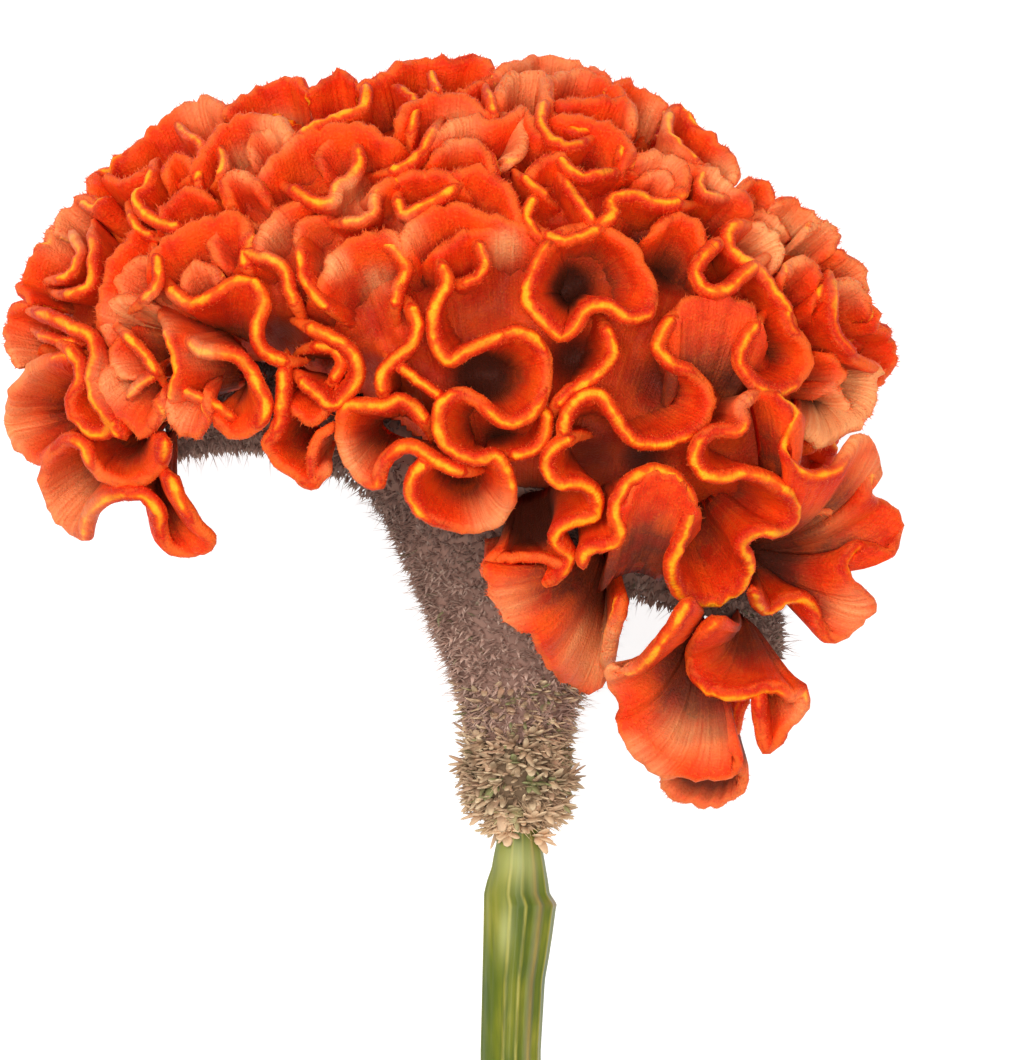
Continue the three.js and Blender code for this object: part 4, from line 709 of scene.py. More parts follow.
# %% Sow small fans
FAN_FIELD = (-84, 62), (52, 129)        # mm, x and y of the field that they are sown on
FAN_MIDDLE = (-8, 72)                   # mm, they open away from here
FAN_TRIES = 3200
FAN_ROOM = dict(edge=5, fold=3.8, fan=5.4, deep=0.15)   # mm to the outline, a fold, a fan; strength of a hole
FANS = dict(radius=(2.6, 4.9), lower=1.8, shift=5, tall=13,   # mm
            opening=(0.9, 1.4), astray=0.5, back=0.45)   # radians; share of the radius
FAN_PALE = (0.1, 0.22)                  # how pale they are on the whole, and how much that differs


def sown_fans(drawn, side, draw):
    """Small fans where the drawn folds of a side leave bare places."""
    taken = np.vstack([even_curve(fold["rim"], fold.get("ring", False))[0] for fold in drawn])
    made, middles = [], []
    for _ in range(FAN_TRIES):
        x, y = (draw.uniform(*span) for span in FAN_FIELD)
        calm = any(math.hypot((x - at[0]) / at[2], (y - at[1]) / at[3]) < 1 for at in CALM)
        if depth_inside(x, y) < FAN_ROOM["edge"]:
            continue
        if side > 0 and (calm or spots(x, y, DEEP_AND_SHADED) > FAN_ROOM["deep"]):
            continue
        if np.hypot(*(taken - (x, y)).T).min() < FAN_ROOM["fold"]:
            continue
        if middles and np.hypot(*(np.array(middles) - (x, y)).T).min() < FAN_ROOM["fan"]:
            continue
        middles.append((x, y))
        opens = math.atan2(y - FAN_MIDDLE[1], x - FAN_MIDDLE[0]) + draw.normal(0, FANS["astray"])
        outwards = np.array([math.cos(opens), math.sin(opens)])
        radius = draw.uniform(*FANS["radius"])
        turn = opens + np.linspace(-1, 1, 5) * draw.uniform(*FANS["opening"])
        arc = radius * (np.column_stack([np.cos(turn), np.sin(turn)]) - FANS["back"] * outwards)
        made.append(dict(rim=(np.array([x, y]) + arc).ravel(), shift=tuple(-FANS["shift"] * outwards),
                         lift=-FANS["lower"], tall=FANS["tall"], plain=True,
                         pale=max(0, draw.normal(*FAN_PALE))))
    return made


front_fans = sown_fans(FOLDS, 1, random)
print(len(front_fans), "small fans on the face")


# %% Build a mesh from grids
def finished(bm, name):
    """The bmesh as an object that lies where the flower lies. What would sink in the ground, or stand out
    of the solid model's box, is pressed flat against it."""
    bmesh.ops.recalc_face_normals(bm, faces=bm.faces)
    bm.transform(LAY)
    for v in bm.verts:
        v.co = [min(max(value, low), high) for value, low, high in zip(v.co, *CAD_BOX)]
    mesh = bpy.data.meshes.new(name)
    bm.to_mesh(mesh)
    bm.free()
    return as_object(mesh, True)


def as_object(mesh, smooth):
    """A mesh as an object of its name in the scene, shaded smooth or faceted."""
    mesh.polygons.foreach_set("use_smooth", [smooth] * len(mesh.polygons))
    piece = bpy.data.objects.new(mesh.name, mesh)
    bpy.context.scene.collection.objects.link(piece)
    return piece


def wrap_grid(bm, places, values, loose=0.002):
    """A grid of quads laid on places (rows, columns, 3), with values for the layers that bm has. Points that
    fall together are merged, so a section that ends where it starts is closed."""
    rows, columns = places.shape[:2]
    made = bmesh.ops.create_grid(bm, x_segments=columns - 1, y_segments=rows - 1, size=1)["verts"]
    flat = np.array([v.co for v in made])
    flat = (flat - flat.min(0)) / np.maximum(flat.max(0) - flat.min(0), 1e-9)
    column = np.rint(flat[:, 0] * (columns - 1)).astype(int)
    row = np.rint(flat[:, 1] * (rows - 1)).astype(int)
    for v, place in zip(made, places[row, column]):
        v.co = place
    for name, array in values.items():
        layer = bm.verts.layers.float_vector[name]
        for v, value in zip(made, array[row, column]):
            v[layer] = value
    bmesh.ops.remove_doubles(bm, verts=made, dist=loose)


# %% Build a piece of the comb
APART = 1000                    # mm, no two sheets have their streaks in the same place
HOLE_SHADE = dict(over=8, from_share=0.35)    # mm, how soon the painted shade of a deep place begins below its crest
SHADE = dict(over=2.5, most=0.9)        # mm, how soon a sheet that has `shade` is painted dark, and how dark at most


def comb_piece(name, folds_and_sides, draw):
    """One piece of the comb: a row of folds, each its own closed sheet. Also gives the folds' frames."""
    bm = bmesh.new()
    for layer in ("sheet", "look"):
        bm.verts.layers.float_vector.new(layer)
    made = []
    for fold, side in folds_and_sides:
        places, measures, frames = fold_points(fold, side, draw)
        below = measures[..., 2]
        on_face = 1.0 if side > 0 else 0.0
        x, y = places[..., 0], places[..., 1]
        faded = np.clip(fold.get("pale", 0) + on_face * spots(x, y, FADED), 0, 1)
        faded = faded * (1 - frames["gone"])[:, None]
        # painted shade: deep in the holes, and below the crest of a sheet that has `shade`
        dark = np.clip(below / HOLE_SHADE["over"] - HOLE_SHADE["from_share"], 0, 1)
        dark = on_face * spots(x, y, DEEP_AND_SHADED) * dark
        if "shade" in fold:
            dark = np.maximum(dark, np.clip((below - fold["shade"]) / SHADE["over"], 0, SHADE["most"]))
        hidden = np.broadcast_to(frames["hidden"][:, None], faded.shape)
        look = np.stack([hidden, faded, np.clip(dark, 0, 1)], axis=2)
        shifted = measures + np.array([APART * draw.random(), 0, 0])
        wrap_grid(bm, places, dict(sheet=shifted, look=look))
        made.append((fold, side, frames))
    return finished(bm, name), made


# %% [markdown]
# The back of the comb is never seen on a flower in a vase, but this one can be picked up. It repeats the
# folds of the face, left for right, on a flatter dome, and the outline's folds a little inside it.

# %% Turn folds to the back
LEAST_BACK = 16                 # mm, shorter folds are not repeated on the back
BACK_REACH = 0.85               # nor are folds that reach further out than this; 1 is the dome's edge
BACK_INSET = 0.91


def rim_length(fold):
    return even_curve(fold["rim"], fold.get("ring", False))[1]


def turned_back(fold):
    """The fold that stands behind this one, or None where the back needs none."""
    rim = np.array(fold["rim"], float).reshape(-1, 2)
    middle = np.array([DOME["x"], DOME["y"]])
    copy = dict(fold, lift=0)
    if fold.get("edge"):
        copy["rim"] = (middle + (rim - middle) * BACK_INSET).ravel()
        return copy
    reach = (((rim - middle) / [DOME["half_width"], DOME["half_height"]]) ** 2).sum(1).max()
    hangs = "root" in fold and not fold.get("ring")
    turned = rim * [-1, 1] + [2 * DOME["x"], 0]
    if hangs or rim_length(fold) < LEAST_BACK or reach > BACK_REACH or depth_inside(*turned.T).min() < 0:
        return None
    copy["rim"] = turned.ravel()
    if "shift" in fold:
        copy["shift"] = (-fold["shift"][0], fold["shift"][1])
    return copy


behind = [fold for fold in map(turned_back, FOLDS) if fold is not None]
back_fans = sown_fans(behind, -1, random)
print(len(behind), "folds and", len(back_fans), "small fans on the back")

# %% Choose the folds of each piece, and build them
HANGING = dict(below=60, right_of=-5)   # mm, the sheets in front of the neck
BORDERS = (-33, 5)              # mm, between left, middle and right


def district(fold):
    """The piece that a fold belongs to."""
    x, y = np.array(fold["rim"], float).reshape(-1, 2).mean(0)
    if fold.get("edge"):
        return "comb_outline"
    if y < HANGING["below"] and x > HANGING["right_of"] or "root" in fold and not fold.get("ring"):
        return "comb_trumpets"
    return "comb_left" if x < BORDERS[0] else "comb_middle" if x < BORDERS[1] else "comb_right"


districts = dict(comb_belt=[(fold, 0) for fold in belt], comb_back=[(fold, -1) for fold in behind],
                 comb_fans=[(fan, 1) for fan in front_fans], comb_back_fans=[(fan, -1) for fan in back_fans])
for fold in FOLDS:
    districts.setdefault(district(fold), []).append((fold, 1))
comb = {}
standing = []
for name, members in sorted(districts.items()):
    comb[name], made = comb_piece(name, members, random)
    standing += made
    print(name, len(members), "folds,", len(comb[name].data.polygons), "faces")

# %% [markdown]
# ## The heart of the comb
#
# Between the folds one looks down on the flesh that they all stand on. It isn't a floor: it climbs
# towards every rim. So it starts as a plain grid that is cut to the comb's outline and given a thickness
# by `solidify`. Then each point is sunk under the dome, by little where a rim is near and by more where
# none is. Its fibres fan out from the stalk, so that the streaks of the paint run up the slopes.
# Its colour is painted with shade, darker the further it lies from a rim and the deeper it sinks.

# %% Cut and sink the heart
HEART = dict(width=150, height=112, above=2, step=0.9)   # mm; its middle lies a little above the dome's
HEART_INSET = 7.5               # mm, inside the comb's outline
HEART_EDGE = 14                 # mm, how wide its rounded edge is
SINK = dict(least=5.5, more=7.0, reach=4.0, deep=6)   # mm
THINNEST = dict(middle=0.3, edge=0.2)   # mm, from the middle plane
FIBRES = dict(from_y=20, at=70) # mm, they fan out from this height on the stalk, and lie as wide apart as a
                                # sheet's streaks where they are this far from it
FLESH = dict(off=3, faded=0.5, dark=0.15, darker=1.2)   # painted as a sheet this many mm off its thread, with painted shade over it, more in holes


def tree_of_rims(side):
    """A look-up of the places of all rims on one side, seen from the front."""
    places = np.concatenate([frames["crest"] for _, its_side, frames in standing if its_side == side])
    tree = KDTree(len(places))
    for i, (x, y, _) in enumerate(places):
        tree.insert((x, y, 0), i)
    tree.balance()
    return tree


def cut_heart():
    """A flat sheet of quads, cut to the comb's outline and doubled, with its layers."""
    bm = bmesh.new()
    columns, rows = (round(HEART[key] / HEART["step"]) for key in ("width", "height"))
    bmesh.ops.create_grid(bm, x_segments=columns, y_segments=rows, size=0.5)
    span = max(abs(v.co.x) for v in bm.verts)
    for v in bm.verts:
        v.co = (DOME["x"] + v.co.x / span * HEART["width"] / 2,
                DOME["y"] + HEART["above"] + v.co.y / span * HEART["height"] / 2, 0)
    spread = np.array([v.co for v in bm.verts])
    inside = depth_inside(spread[:, 0], spread[:, 1]) - HEART_INSET
    bmesh.ops.delete(bm, geom=[v for v, depth in zip(bm.verts, inside) if depth < 0], context="VERTS")
    sheet = bm.verts.layers.float_vector.new("sheet")
    look = bm.verts.layers.float_vector.new("look")
    bmesh.ops.solidify(bm, geom=bm.faces[:], thickness=1.0)
    return bm, sheet, look


def build_heart():
    bm, sheet, look = cut_heart()
    middle = sum(v.co.z for v in bm.verts) / len(bm.verts)
    for side in (1, -1):
        tree = tree_of_rims(side)
        for v in bm.verts:
            if (v.co.z - middle) * side <= 0:
                continue
            x, y = v.co.x, v.co.y
            away = tree.find((x, y, 0))[2]
            deep = float(spots(x, y, DEEP_AND_SHADED)) if side > 0 else 0.0
            faded = float(spots(x, y, FADED)) if side > 0 else 0.0
            sink = SINK["least"] + SINK["more"] * (1 - math.exp(-away / SINK["reach"])) + SINK["deep"] * deep
            level = min(1, (float(depth_inside(x, y)) - HEART_INSET) / HEART_EDGE)
            rise = max(THINNEST["middle"], float(dome_height(x, y, side)) - sink)
            rise = rise * math.sqrt(max(0, level * (2 - level)))
            fibre = FIBRES["at"] * math.atan2(x, y - FIBRES["from_y"])
            # painted shade: further from a rim and sunk deeper, the heart takes darker colours, and darker
            # still in holes
            v[sheet] = (fibre, FLESH["off"] + away, sink)
            v[look] = (1, FLESH["faded"] * faded, min(1, FLESH["dark"] + FLESH["darker"] * deep))
            v.co.z = side * max(rise, THINNEST["edge"])
    return finished(bm, "comb_heart")


comb["comb_heart"] = build_heart()
print("heart:", len(comb["comb_heart"].data.polygons), "faces")

# %% [markdown]
# ## The fringe
#
# Seen close, the welt isn't smooth: it is packed with tiny bristles, the stubs of flowers that never
# opened. They catch the light along the crest and give the outline its soft, combed edge. One bristle is
# a slim three-sided cone. Thousands of copies of it are laid in one mesh, each turned and sized a little
# differently, since a shape that is repeated so often can only afford a few faces. The same function
# will lay the bracts of the stalk, so it also notes how far under the comb each copy stands, for a
# painted shade, and how low on the collar, where the florets are painted paler.

# %% One bristle, and a way to lay many
DUSK = dict(inside=7, outside=20)   # mm from the comb's outline, where the painted shade under it is full and where it ends
PALER_BELOW = 7              # mm, the florets under this height are painted paler, the more the lower they stand


def taken_apart(bm):
    """A small bmesh as two arrays: its places and its triangles."""
    bm.verts.ensure_lookup_table()
    shape = np.array([v.co for v in bm.verts]), np.array([[v.index for v in f.verts] for f in bm.faces])
    bm.free()
    return shape


def bristle_shape():
    """A cone from z 0 to z 1, as (places, faces)."""
    bm = bmesh.new()
    bmesh.ops.create_cone(bm, cap_ends=True, segments=3, radius1=0.5, radius2=0, depth=1)
    bmesh.ops.remove_doubles(bm, verts=bm.verts, dist=1e-5)
    bmesh.ops.translate(bm, verts=bm.verts, vec=(0, 0, 0.5))
    bmesh.ops.triangulate(bm, faces=bm.faces)
    return taken_apart(bm)


def many(name, shape, feet, directions, sizes, tones, side_hint, smooth=False):
    """Copies of one shape in one mesh. Each stands on its foot with z along its direction, has its size
    (width, thickness, length), and keeps (height up the copy, its tone, how much painted shade of the comb
    it gets) on every point as `hair`. Low on the collar, where the florets are painted paler, the last
    number is negative. The hint is a direction that hardly any copy points in; their widths are square to it."""
    local, faces = shape
    up = unit(directions)
    across = unit(np.cross(side_hint, up) + 1e-6)
    third = np.cross(up, across)
    places = (feet[:, None] + across[:, None] * local[None, :, 0, None] * sizes[:, None, :1]
              + third[:, None] * local[None, :, 1, None] * sizes[:, None, 1:2]
              + up[:, None] * local[None, :, 2, None] * sizes[:, None, 2:])
    count, corners = places.shape[:2]
    world = places.reshape(-1, 3) @ np.array(LAY.to_3x3()).T + np.array(LAY.translation)
    world = np.clip(world, *np.array(CAD_BOX))
    triangles = (faces[None] + corners * np.arange(count)[:, None, None]).reshape(-1, 3)
    mesh = bpy.data.meshes.new(name)
    mesh.from_pydata(world.tolist(), [], triangles.tolist())
    # painted shade under the comb, and florets painted paler low on the collar
    dusk = (depth_inside(*feet[:, :2].T) + DUSK["outside"]) / (DUSK["inside"] + DUSK["outside"])
    paled = 1 - feet[:, 1] / PALER_BELOW
    hair = np.zeros((count, corners, 3))
    hair[..., 0] = local[:, 2]
    hair[..., 1] = tones[:, None]
    hair[..., 2] = (np.clip(dusk, 0, 1) - np.clip(paled, 0, 1))[:, None]
    mesh.attributes.new("hair", "FLOAT_VECTOR", "POINT").data.foreach_set("vector", hair.ravel())
    mesh.validate()
    return as_object(mesh, smooth)


print("a bristle has", len(bristle_shape()[1]), "faces")

# %% Comb the fringe over the welts
FRINGE_GAP = 0.42               # mm between bristles of one row
FRINGE_ROWS = dict(             # radians from the crest or the thread, how much that differs; mm long
    fan=[(0.0, 0.6, 0.55, 1.15), (0.0, 0.5, 0.4, 0.9)],
    fold=[(-1.15, 0.3, 0.3, 0.6), (1.15, 0.3, 0.3, 0.6)],
)
BRISTLE = dict(thick=(0.14, 0.26), sunk=0.25, bare_end=0.5)   # mm
RUFFLED = 0.22                  # how much their directions differ


def fringe_rows(fold, frames, draw):
    """Feet, directions, and lengths of a fold's bristles. On a fan they cover the crest, on a fold they
    leave the thread bare and stand in a row on both sides of it."""
    fan = turned_away(fold)
    length = frames["along"][-1]
    gathered = []
    for middle_angle, spread, shortest, longest in FRINGE_ROWS["fan" if fan else "fold"]:
        count = int(length / FRINGE_GAP)
        at = np.sort(draw.uniform(BRISTLE["bare_end"], length - BRISTLE["bare_end"], count))
        read = lambda array: np.column_stack([np.interp(at, frames["along"], array[:, k]) for k in range(3)])
        thread, ends = (np.interp(at, frames["along"], frames[key]) for key in ("thread", "ends"))
        across, down, crest = (read(frames[key]) for key in ("across", "down", "crest"))
        angle = (0 if fan else thread) + middle_angle + draw.normal(0, spread, count)
        away = unit(across * np.sin(angle)[:, None] - down * np.cos(angle)[:, None])
        feet = crest + away * ((WELT - BRISTLE["sunk"]) * ends)[:, None]
        lean = away + draw.normal(0, RUFFLED, (count, 3))
        gathered.append((feet, lean, draw.uniform(shortest, longest, count)))
    return [np.concatenate(parts) for parts in zip(*gathered)]


rows = [fringe_rows(fold, frames, random) for fold, _, frames in standing]
feet, directions, lengths = (np.concatenate(parts) for parts in zip(*rows))
thickness = random.uniform(*BRISTLE["thick"], len(feet))
comb["comb_fringe"] = many("comb_fringe", bristle_shape(), feet, directions,
                           np.column_stack([thickness, thickness, lengths]), random.random(len(feet)),
                           np.array([0.3, 0.2, 1.0]))
print(len(feet), "bristles")

# %% [markdown]
# ## The flower stalk and its chaff
#
# Under the comb the stalk widens into a wedge and sends an arm to each side. It is the true flowering
# part: hundreds of small dry florets, each wrapped in pointed papery bracts. They are so dense that
# nothing of the stalk shows, so the stalk is a plain loft, and the work goes into the bracts. One bract
# is a sphere of very few faces, drawn out to a lens with a point at both ends.

# %% Loft the wedge and its two arms
NECK_RINGS = [                  # y, left, right, half depth
    (16, -7.2, 7.4, 7), (25, -9.8, 10.4, 7.8), (33, -13.2, 13.6, 8.6), (41, -16.4, 17.5, 9.4),
    (50, -20.3, 23, 10.4), (58, -24, 27, 11), (64, -21, 24, 9),
]
NECK_ARMS = [                   # x, y, radius
    [(-12, 58, 9), (-26, 67, 7), (-39, 71, 6), (-50, 70.8, 5.4), (-59, 68, 4)],
    [(12, 52, 9), (22, 48.5, 8.5), (32, 44, 7), (38, 39, 5), (41, 34, 3.4), (41.5, 30, 2)],
]
UP = np.array([0.0, 1.0, 0.0])
RING_POINTS = 40
ROUND = np.linspace(0, 2 * math.pi, RING_POINTS + 1)    # a ring's last point is its first again


def oval_ring(table, y, shrink):
    """An oval at a height, drawn in by `shrink`, from rows of (y, left, right, half depth): its places, half
    its width, and the half depth."""
    heights, *columns = zip(*table)
    left, right, depth = (np.interp(y, heights, column) for column in columns)
    half = (right - left) / 2 - shrink
    places = np.column_stack([(left + right) / 2 + half * np.cos(ROUND), np.full(len(ROUND), y),
                              (depth - shrink) * np.sin(ROUND)])
    return places, half, depth


def wedge_ring(y, shrink):
    """A ring of the wedge at a height, as places, and the way out of it."""
    places, half, depth = oval_ring(NECK_RINGS, y, shrink)
    lean = np.zeros(len(ROUND)) - 0.012
    return places, unit(np.column_stack([np.cos(ROUND) / half, lean, np.sin(ROUND) / depth]))


def arm_ring(arm, share, shrink):
    """A ring of an arm at a share of its length, as places, and the way out of it."""
    table = np.array(arm, float)
    at = share * (len(table) - 1)
    read = lambda t: np.array([np.interp(t, range(len(table)), table[:, k]) for k in range(3)])
    x, y, radius = read(at)
    heading = unit((read(at + 0.3) - read(at - 0.3))[:2])
    side = np.array([-heading[1], heading[0], 0])
    out = np.outer(np.cos(ROUND), side) + np.outer(np.sin(ROUND), [0, 0, 1])
    return np.array([x, y, 0]) + out * (radius - shrink), out


def closed_loft(rings):
    """Rows of places for a tube, with both ends drawn to a point."""
    first, last = (np.broadcast_to(ring.mean(0), ring.shape) for ring in (rings[0], rings[-1]))
    return np.stack([first, *rings, last])


def build_neck_core():
    bm = bmesh.new()
    bm.verts.layers.float_vector.new("hair")
    lofts = [closed_loft([wedge_ring(y, 0.5)[0] for y in np.linspace(16, 64, 25)])]
    for arm in NECK_ARMS:
        lofts.append(closed_loft([arm_ring(arm, share, 0.5)[0] for share in np.linspace(0, 1, 21)]))
    for places in lofts:
        wrap_grid(bm, places, dict(hair=np.zeros(places.shape) + [0.05, 0.2, 0.0]))
    return finished(bm, "neck_stalk")


neck = {"neck_stalk": build_neck_core()}
print("neck core:", len(neck["neck_stalk"].data.polygons), "faces")


# %% One bract, and where bracts stand
def bract_shape(sides=4, cuts=2, widest=0.35, curl=0.0):
    """A lens from z 0 to z 1, widest at a share of its length, its tip curled forward."""
    bm = bmesh.new()
    bmesh.ops.create_uvsphere(bm, u_segments=sides, v_segments=cuts, radius=0.5)
    bmesh.ops.triangulate(bm, faces=bm.faces)
    for v in bm.verts:
        height = v.co.z + 0.5
        v.co.z = height ** (math.log(widest) / math.log(0.5))
        v.co.y += curl * v.co.z ** 2
    return taken_apart(bm)


def sown(ring_at, count, draw):
    """Feet and outward directions, evenly sown over a tube given by rings at shares 0 to 1."""
    shares, turns = draw.random(count), draw.random(count) * RING_POINTS
    feet, outs = [], []
    for share, turn in zip(shares, turns):
        places, out = ring_at(share)
        k, rest = int(turn), turn % 1
        feet.append(places[k] * (1 - rest) + places[k + 1] * rest)
        outs.append(out[k] * (1 - rest) + out[k + 1] * rest)
    return np.array(feet), unit(np.array(outs))


def joined(*parts):
    """Several pairs of feet and directions as one pair."""
    return (np.concatenate(column) for column in zip(*parts))


def sown_on_neck(counts, tall, crowd, shrink):
    """Feet and directions on the wedge, up to `tall` mm over its foot, and on its arms. With `crowd` under
    1 they stand closer near the comb."""
    wedge = sown(lambda share: wedge_ring(16.5 + tall * share ** crowd, shrink), counts["wedge"], random)
    arms = [sown(lambda share, arm=arm: arm_ring(arm, share, shrink), counts["arm"], random)
            for arm in NECK_ARMS]
    return joined(wedge, *arms)


def standing_out(name, shape, feet, outs, sway, wide, flat, long, droop=0.0):
    """Copies of a shape that stand out of a surface, each swaying a little. `wide` and `long` are ranges in
    mm, and `flat` is a copy's thickness as a share of its width."""
    count = len(feet)
    directions = unit(outs + random.normal(0, sway, (count, 3)) - droop * UP)
    width = random.uniform(*wide, count)
    sizes = np.column_stack([width, flat * width, random.uniform(*long, count)])
    return many(name, shape, feet, directions, sizes, random.random(count), UP)


# %% Set the bracts of the neck, and the bristles that stand out between them
BRACTS = dict(wedge=8500, arm=3000)
BRISTLES = dict(wedge=1700, arm=420)


def build_chaff():
    feet, outs = sown_on_neck(BRACTS, 47, 0.85, 0.6)
    count = len(feet)
    sway = random.normal(0, 0.5, (count, 3))
    rise = random.uniform(-0.55, 0.65, count)[:, None]
    directions = unit(outs + rise * UP + sway)
    long = random.uniform(1.5, 2.7, count)
    wide = random.uniform(0.55, 1.05, count)
    sizes = np.column_stack([wide, wide * random.uniform(0.3, 0.55, count), long])
    return many("neck_chaff", bract_shape(), feet, directions, sizes, random.random(count), UP)


neck["neck_chaff"] = build_chaff()
neck["neck_bristles"] = standing_out("neck_bristles", bristle_shape(), *sown_on_neck(BRISTLES, 46, 1, 0.3),
                                     sway=0.35, wide=(0.12, 0.22), flat=1, long=(2.6, 5.4), droop=0.1)
print("chaff:", len(neck["neck_chaff"].data.polygons), "faces;",
      "bristles:", len(neck["neck_bristles"].data.polygons), "faces")

# %% [markdown]
# The comb's underside, where it looks down the stalk, has no folds but the same chaff. There a bract is
# sown on the heart wherever it is near the lower edge and slopes towards the stalk.

# %% Sow the underside of the comb
UNDERSIDE = dict(bracts=6000, reach=13, slope=0.2, front=3)   # mm: from the lower edge, over the middle plane
BARE = 0.3                      # no bract stands where a deep place is stronger than this


def sown_underside(heart, count, draw):
    """Feet and outward directions on the part of the heart that looks down the stalk."""
    back = LAY.inverted()
    turn = back.to_3x3()
    line = even_curve(LOWER_EDGE, False)[0]
    feet, outs = [], []
    for face in heart.data.polygons:
        out = (turn @ face.normal).normalized()
        place = back @ face.center
        if out.y >= -UNDERSIDE["slope"] or place.z >= UNDERSIDE["front"]:
            continue
        near = np.hypot(*(line - (place.x, place.y)).T).min() < UNDERSIDE["reach"]
        if near and spots(place.x, place.y, DEEP_AND_SHADED) <= BARE:
            feet.append(place)
            outs.append(out)
    pick = draw.integers(0, len(feet), count)
    feet, outs = np.array(feet)[pick], np.array(outs)[pick]
    return feet + draw.uniform(-0.5, 0.5, (count, 3)), outs


feet, outs = sown_underside(comb["comb_heart"], UNDERSIDE["bracts"], random)
underside = {"comb_chaff": standing_out("comb_chaff", bract_shape(), feet, outs,
                                        sway=0.5, wide=(0.7, 1.2), flat=0.45, long=(1.8, 3.6))}
print("underside:", len(underside["comb_chaff"].data.polygons), "faces")

# %% [markdown]
# ## The collar of straw florets
#
# At the foot of the chaff sit the oldest florets. They are open, so each shows as a small rosette of
# pointed straw-coloured bracts, some tinged pink, with a green leaflet here and there. The lowest are
# the largest. A rosette is six bracts round one foot and a seventh in the middle; their lens has more
# faces than the chaff's, because each one is seen. Between the rosettes stand loose bracts and thin awns.

# %% Set the rosettes
COLLAR_RINGS = [                # y, left, right, half depth
    (1, -3.4, 3.6, 3.4), (4, -5.8, 6.4, 5.4), (8.5, -8.2, 7.6, 6.6), (12, -8, 7.6, 6.8), (15.7, -7.2, 7.4, 7),
]
ROSETTES = dict(rows=7, first=1.8, last=16.5, gap=2.9, petals=6)   # mm
LARGE = dict(below=5, by=1.3)   # mm; how much wider the lowest florets are
DROOPING = dict(below=10, slope=-0.35)   # mm; the lower florets point down


def collar_ring(y, shrink):
    """A ring of the collar at a height, as places, and the way out of it."""
    places = oval_ring(COLLAR_RINGS, y, shrink)[0]
    slope = DROOPING["slope"] if y < DROOPING["below"] else 0.0
    return places, unit(np.column_stack([np.cos(ROUND), np.full(len(ROUND), slope), np.sin(ROUND)]))


def build_collar_core():
    bm = bmesh.new()
    bm.verts.layers.float_vector.new("hair")
    places = closed_loft([collar_ring(y, 0.4)[0] for y in np.linspace(1, 15.7, 12)])
    wrap_grid(bm, places, dict(hair=np.zeros(places.shape) + [0.0, 0.3, 0.0]))
    return finished(bm, "collar_core")


def rosette(foot, out, grown):
    """The bracts of one open floret: their feet, directions, sizes and tones."""
    side = unit(np.cross(UP, out))
    rise = np.cross(out, side)
    tone, start = random.random(), random.uniform(0, 2 * math.pi)
    made = []
    for petal in range(ROSETTES["petals"] + 1):
        turn = start + 2 * math.pi * petal / ROSETTES["petals"]
        spread = random.uniform(0.55, 0.95) if petal < ROSETTES["petals"] else 0.05
        direction = out * 0.85 + (side * math.cos(turn) + rise * math.sin(turn)) * spread
        size = grown * random.uniform(1.0, 1.9), random.uniform(0.4, 0.7), random.uniform(2.2, 4.2)
        made.append((foot, direction, size, np.clip(tone + random.normal(0, 0.1), 0, 1)))
    return made


def build_rosettes():
    made = []
    for row, y in enumerate(np.linspace(ROSETTES["first"], ROSETTES["last"], ROSETTES["rows"])):
        places, outs = collar_ring(y, 0.3)
        girth = np.linalg.norm(np.diff(places, axis=0), axis=1).sum()
        around = max(8, round(girth / ROSETTES["gap"]))
        for i in range(around):
            k = int(((i + 0.5 * (row % 2) + random.uniform(-0.15, 0.15)) / around % 1) * RING_POINTS)
            foot = places[k] + random.normal(0, 0.7, 3)
            out = unit(outs[k] + random.normal(0, 0.42, 3))
            made += rosette(foot, out, LARGE["by"] if y < LARGE["below"] else 1.0)
    feet, directions, sizes, tones = (np.array(column) for column in zip(*made))
    return many("collar_rosettes", bract_shape(8, 5, 0.4, 0.25), feet, directions, sizes, tones, UP,
                smooth=True)


collar = {"collar_core": build_collar_core(), "collar_rosettes": build_rosettes()}
print("rosettes:", len(collar["collar_rosettes"].data.polygons), "faces")

# %% Fill in between them, and thin out upwards among the lowest chaff
above = sown(lambda share: wedge_ring(16 + 10 * share ** 1.6, 0.4), 380, random)
among = sown(lambda share: collar_ring(1.2 + 15 * share, 0.3), 600, random)
collar["collar_loose"] = standing_out("collar_loose", bract_shape(6, 4, 0.4, 0.2), *joined(above, among),
                                      sway=0.5, wide=(0.7, 1.4), flat=0.45, long=(1.6, 3.1))
feet, outs = sown(lambda share: collar_ring(1.5 + 13.5 * share, 0.2), 520, random)
collar["collar_awns"] = standing_out("collar_awns", bristle_shape(), feet, outs,
                                     sway=0.35, wide=(0.2, 0.42), flat=1, long=(2.4, 4.4))
print("loose bracts and awns:", [len(collar[name].data.polygons) for name in ("collar_loose", "collar_awns")])

# %% [markdown]
# ## The green stalk
#
# The stalk is herbaceous and ribbed: light cords of fibre stand out, with darker, slightly hollow panels
# between them. Its ribs aren't evenly spaced, so their angles are a short list. It is one grid wrapped
# round, its radius worked out from how far each point is from the nearest rib. Near the top a leaf has
# broken off, which leaves a small dry shelf on the right, and in two places a painted highlight makes
# the skin pale.

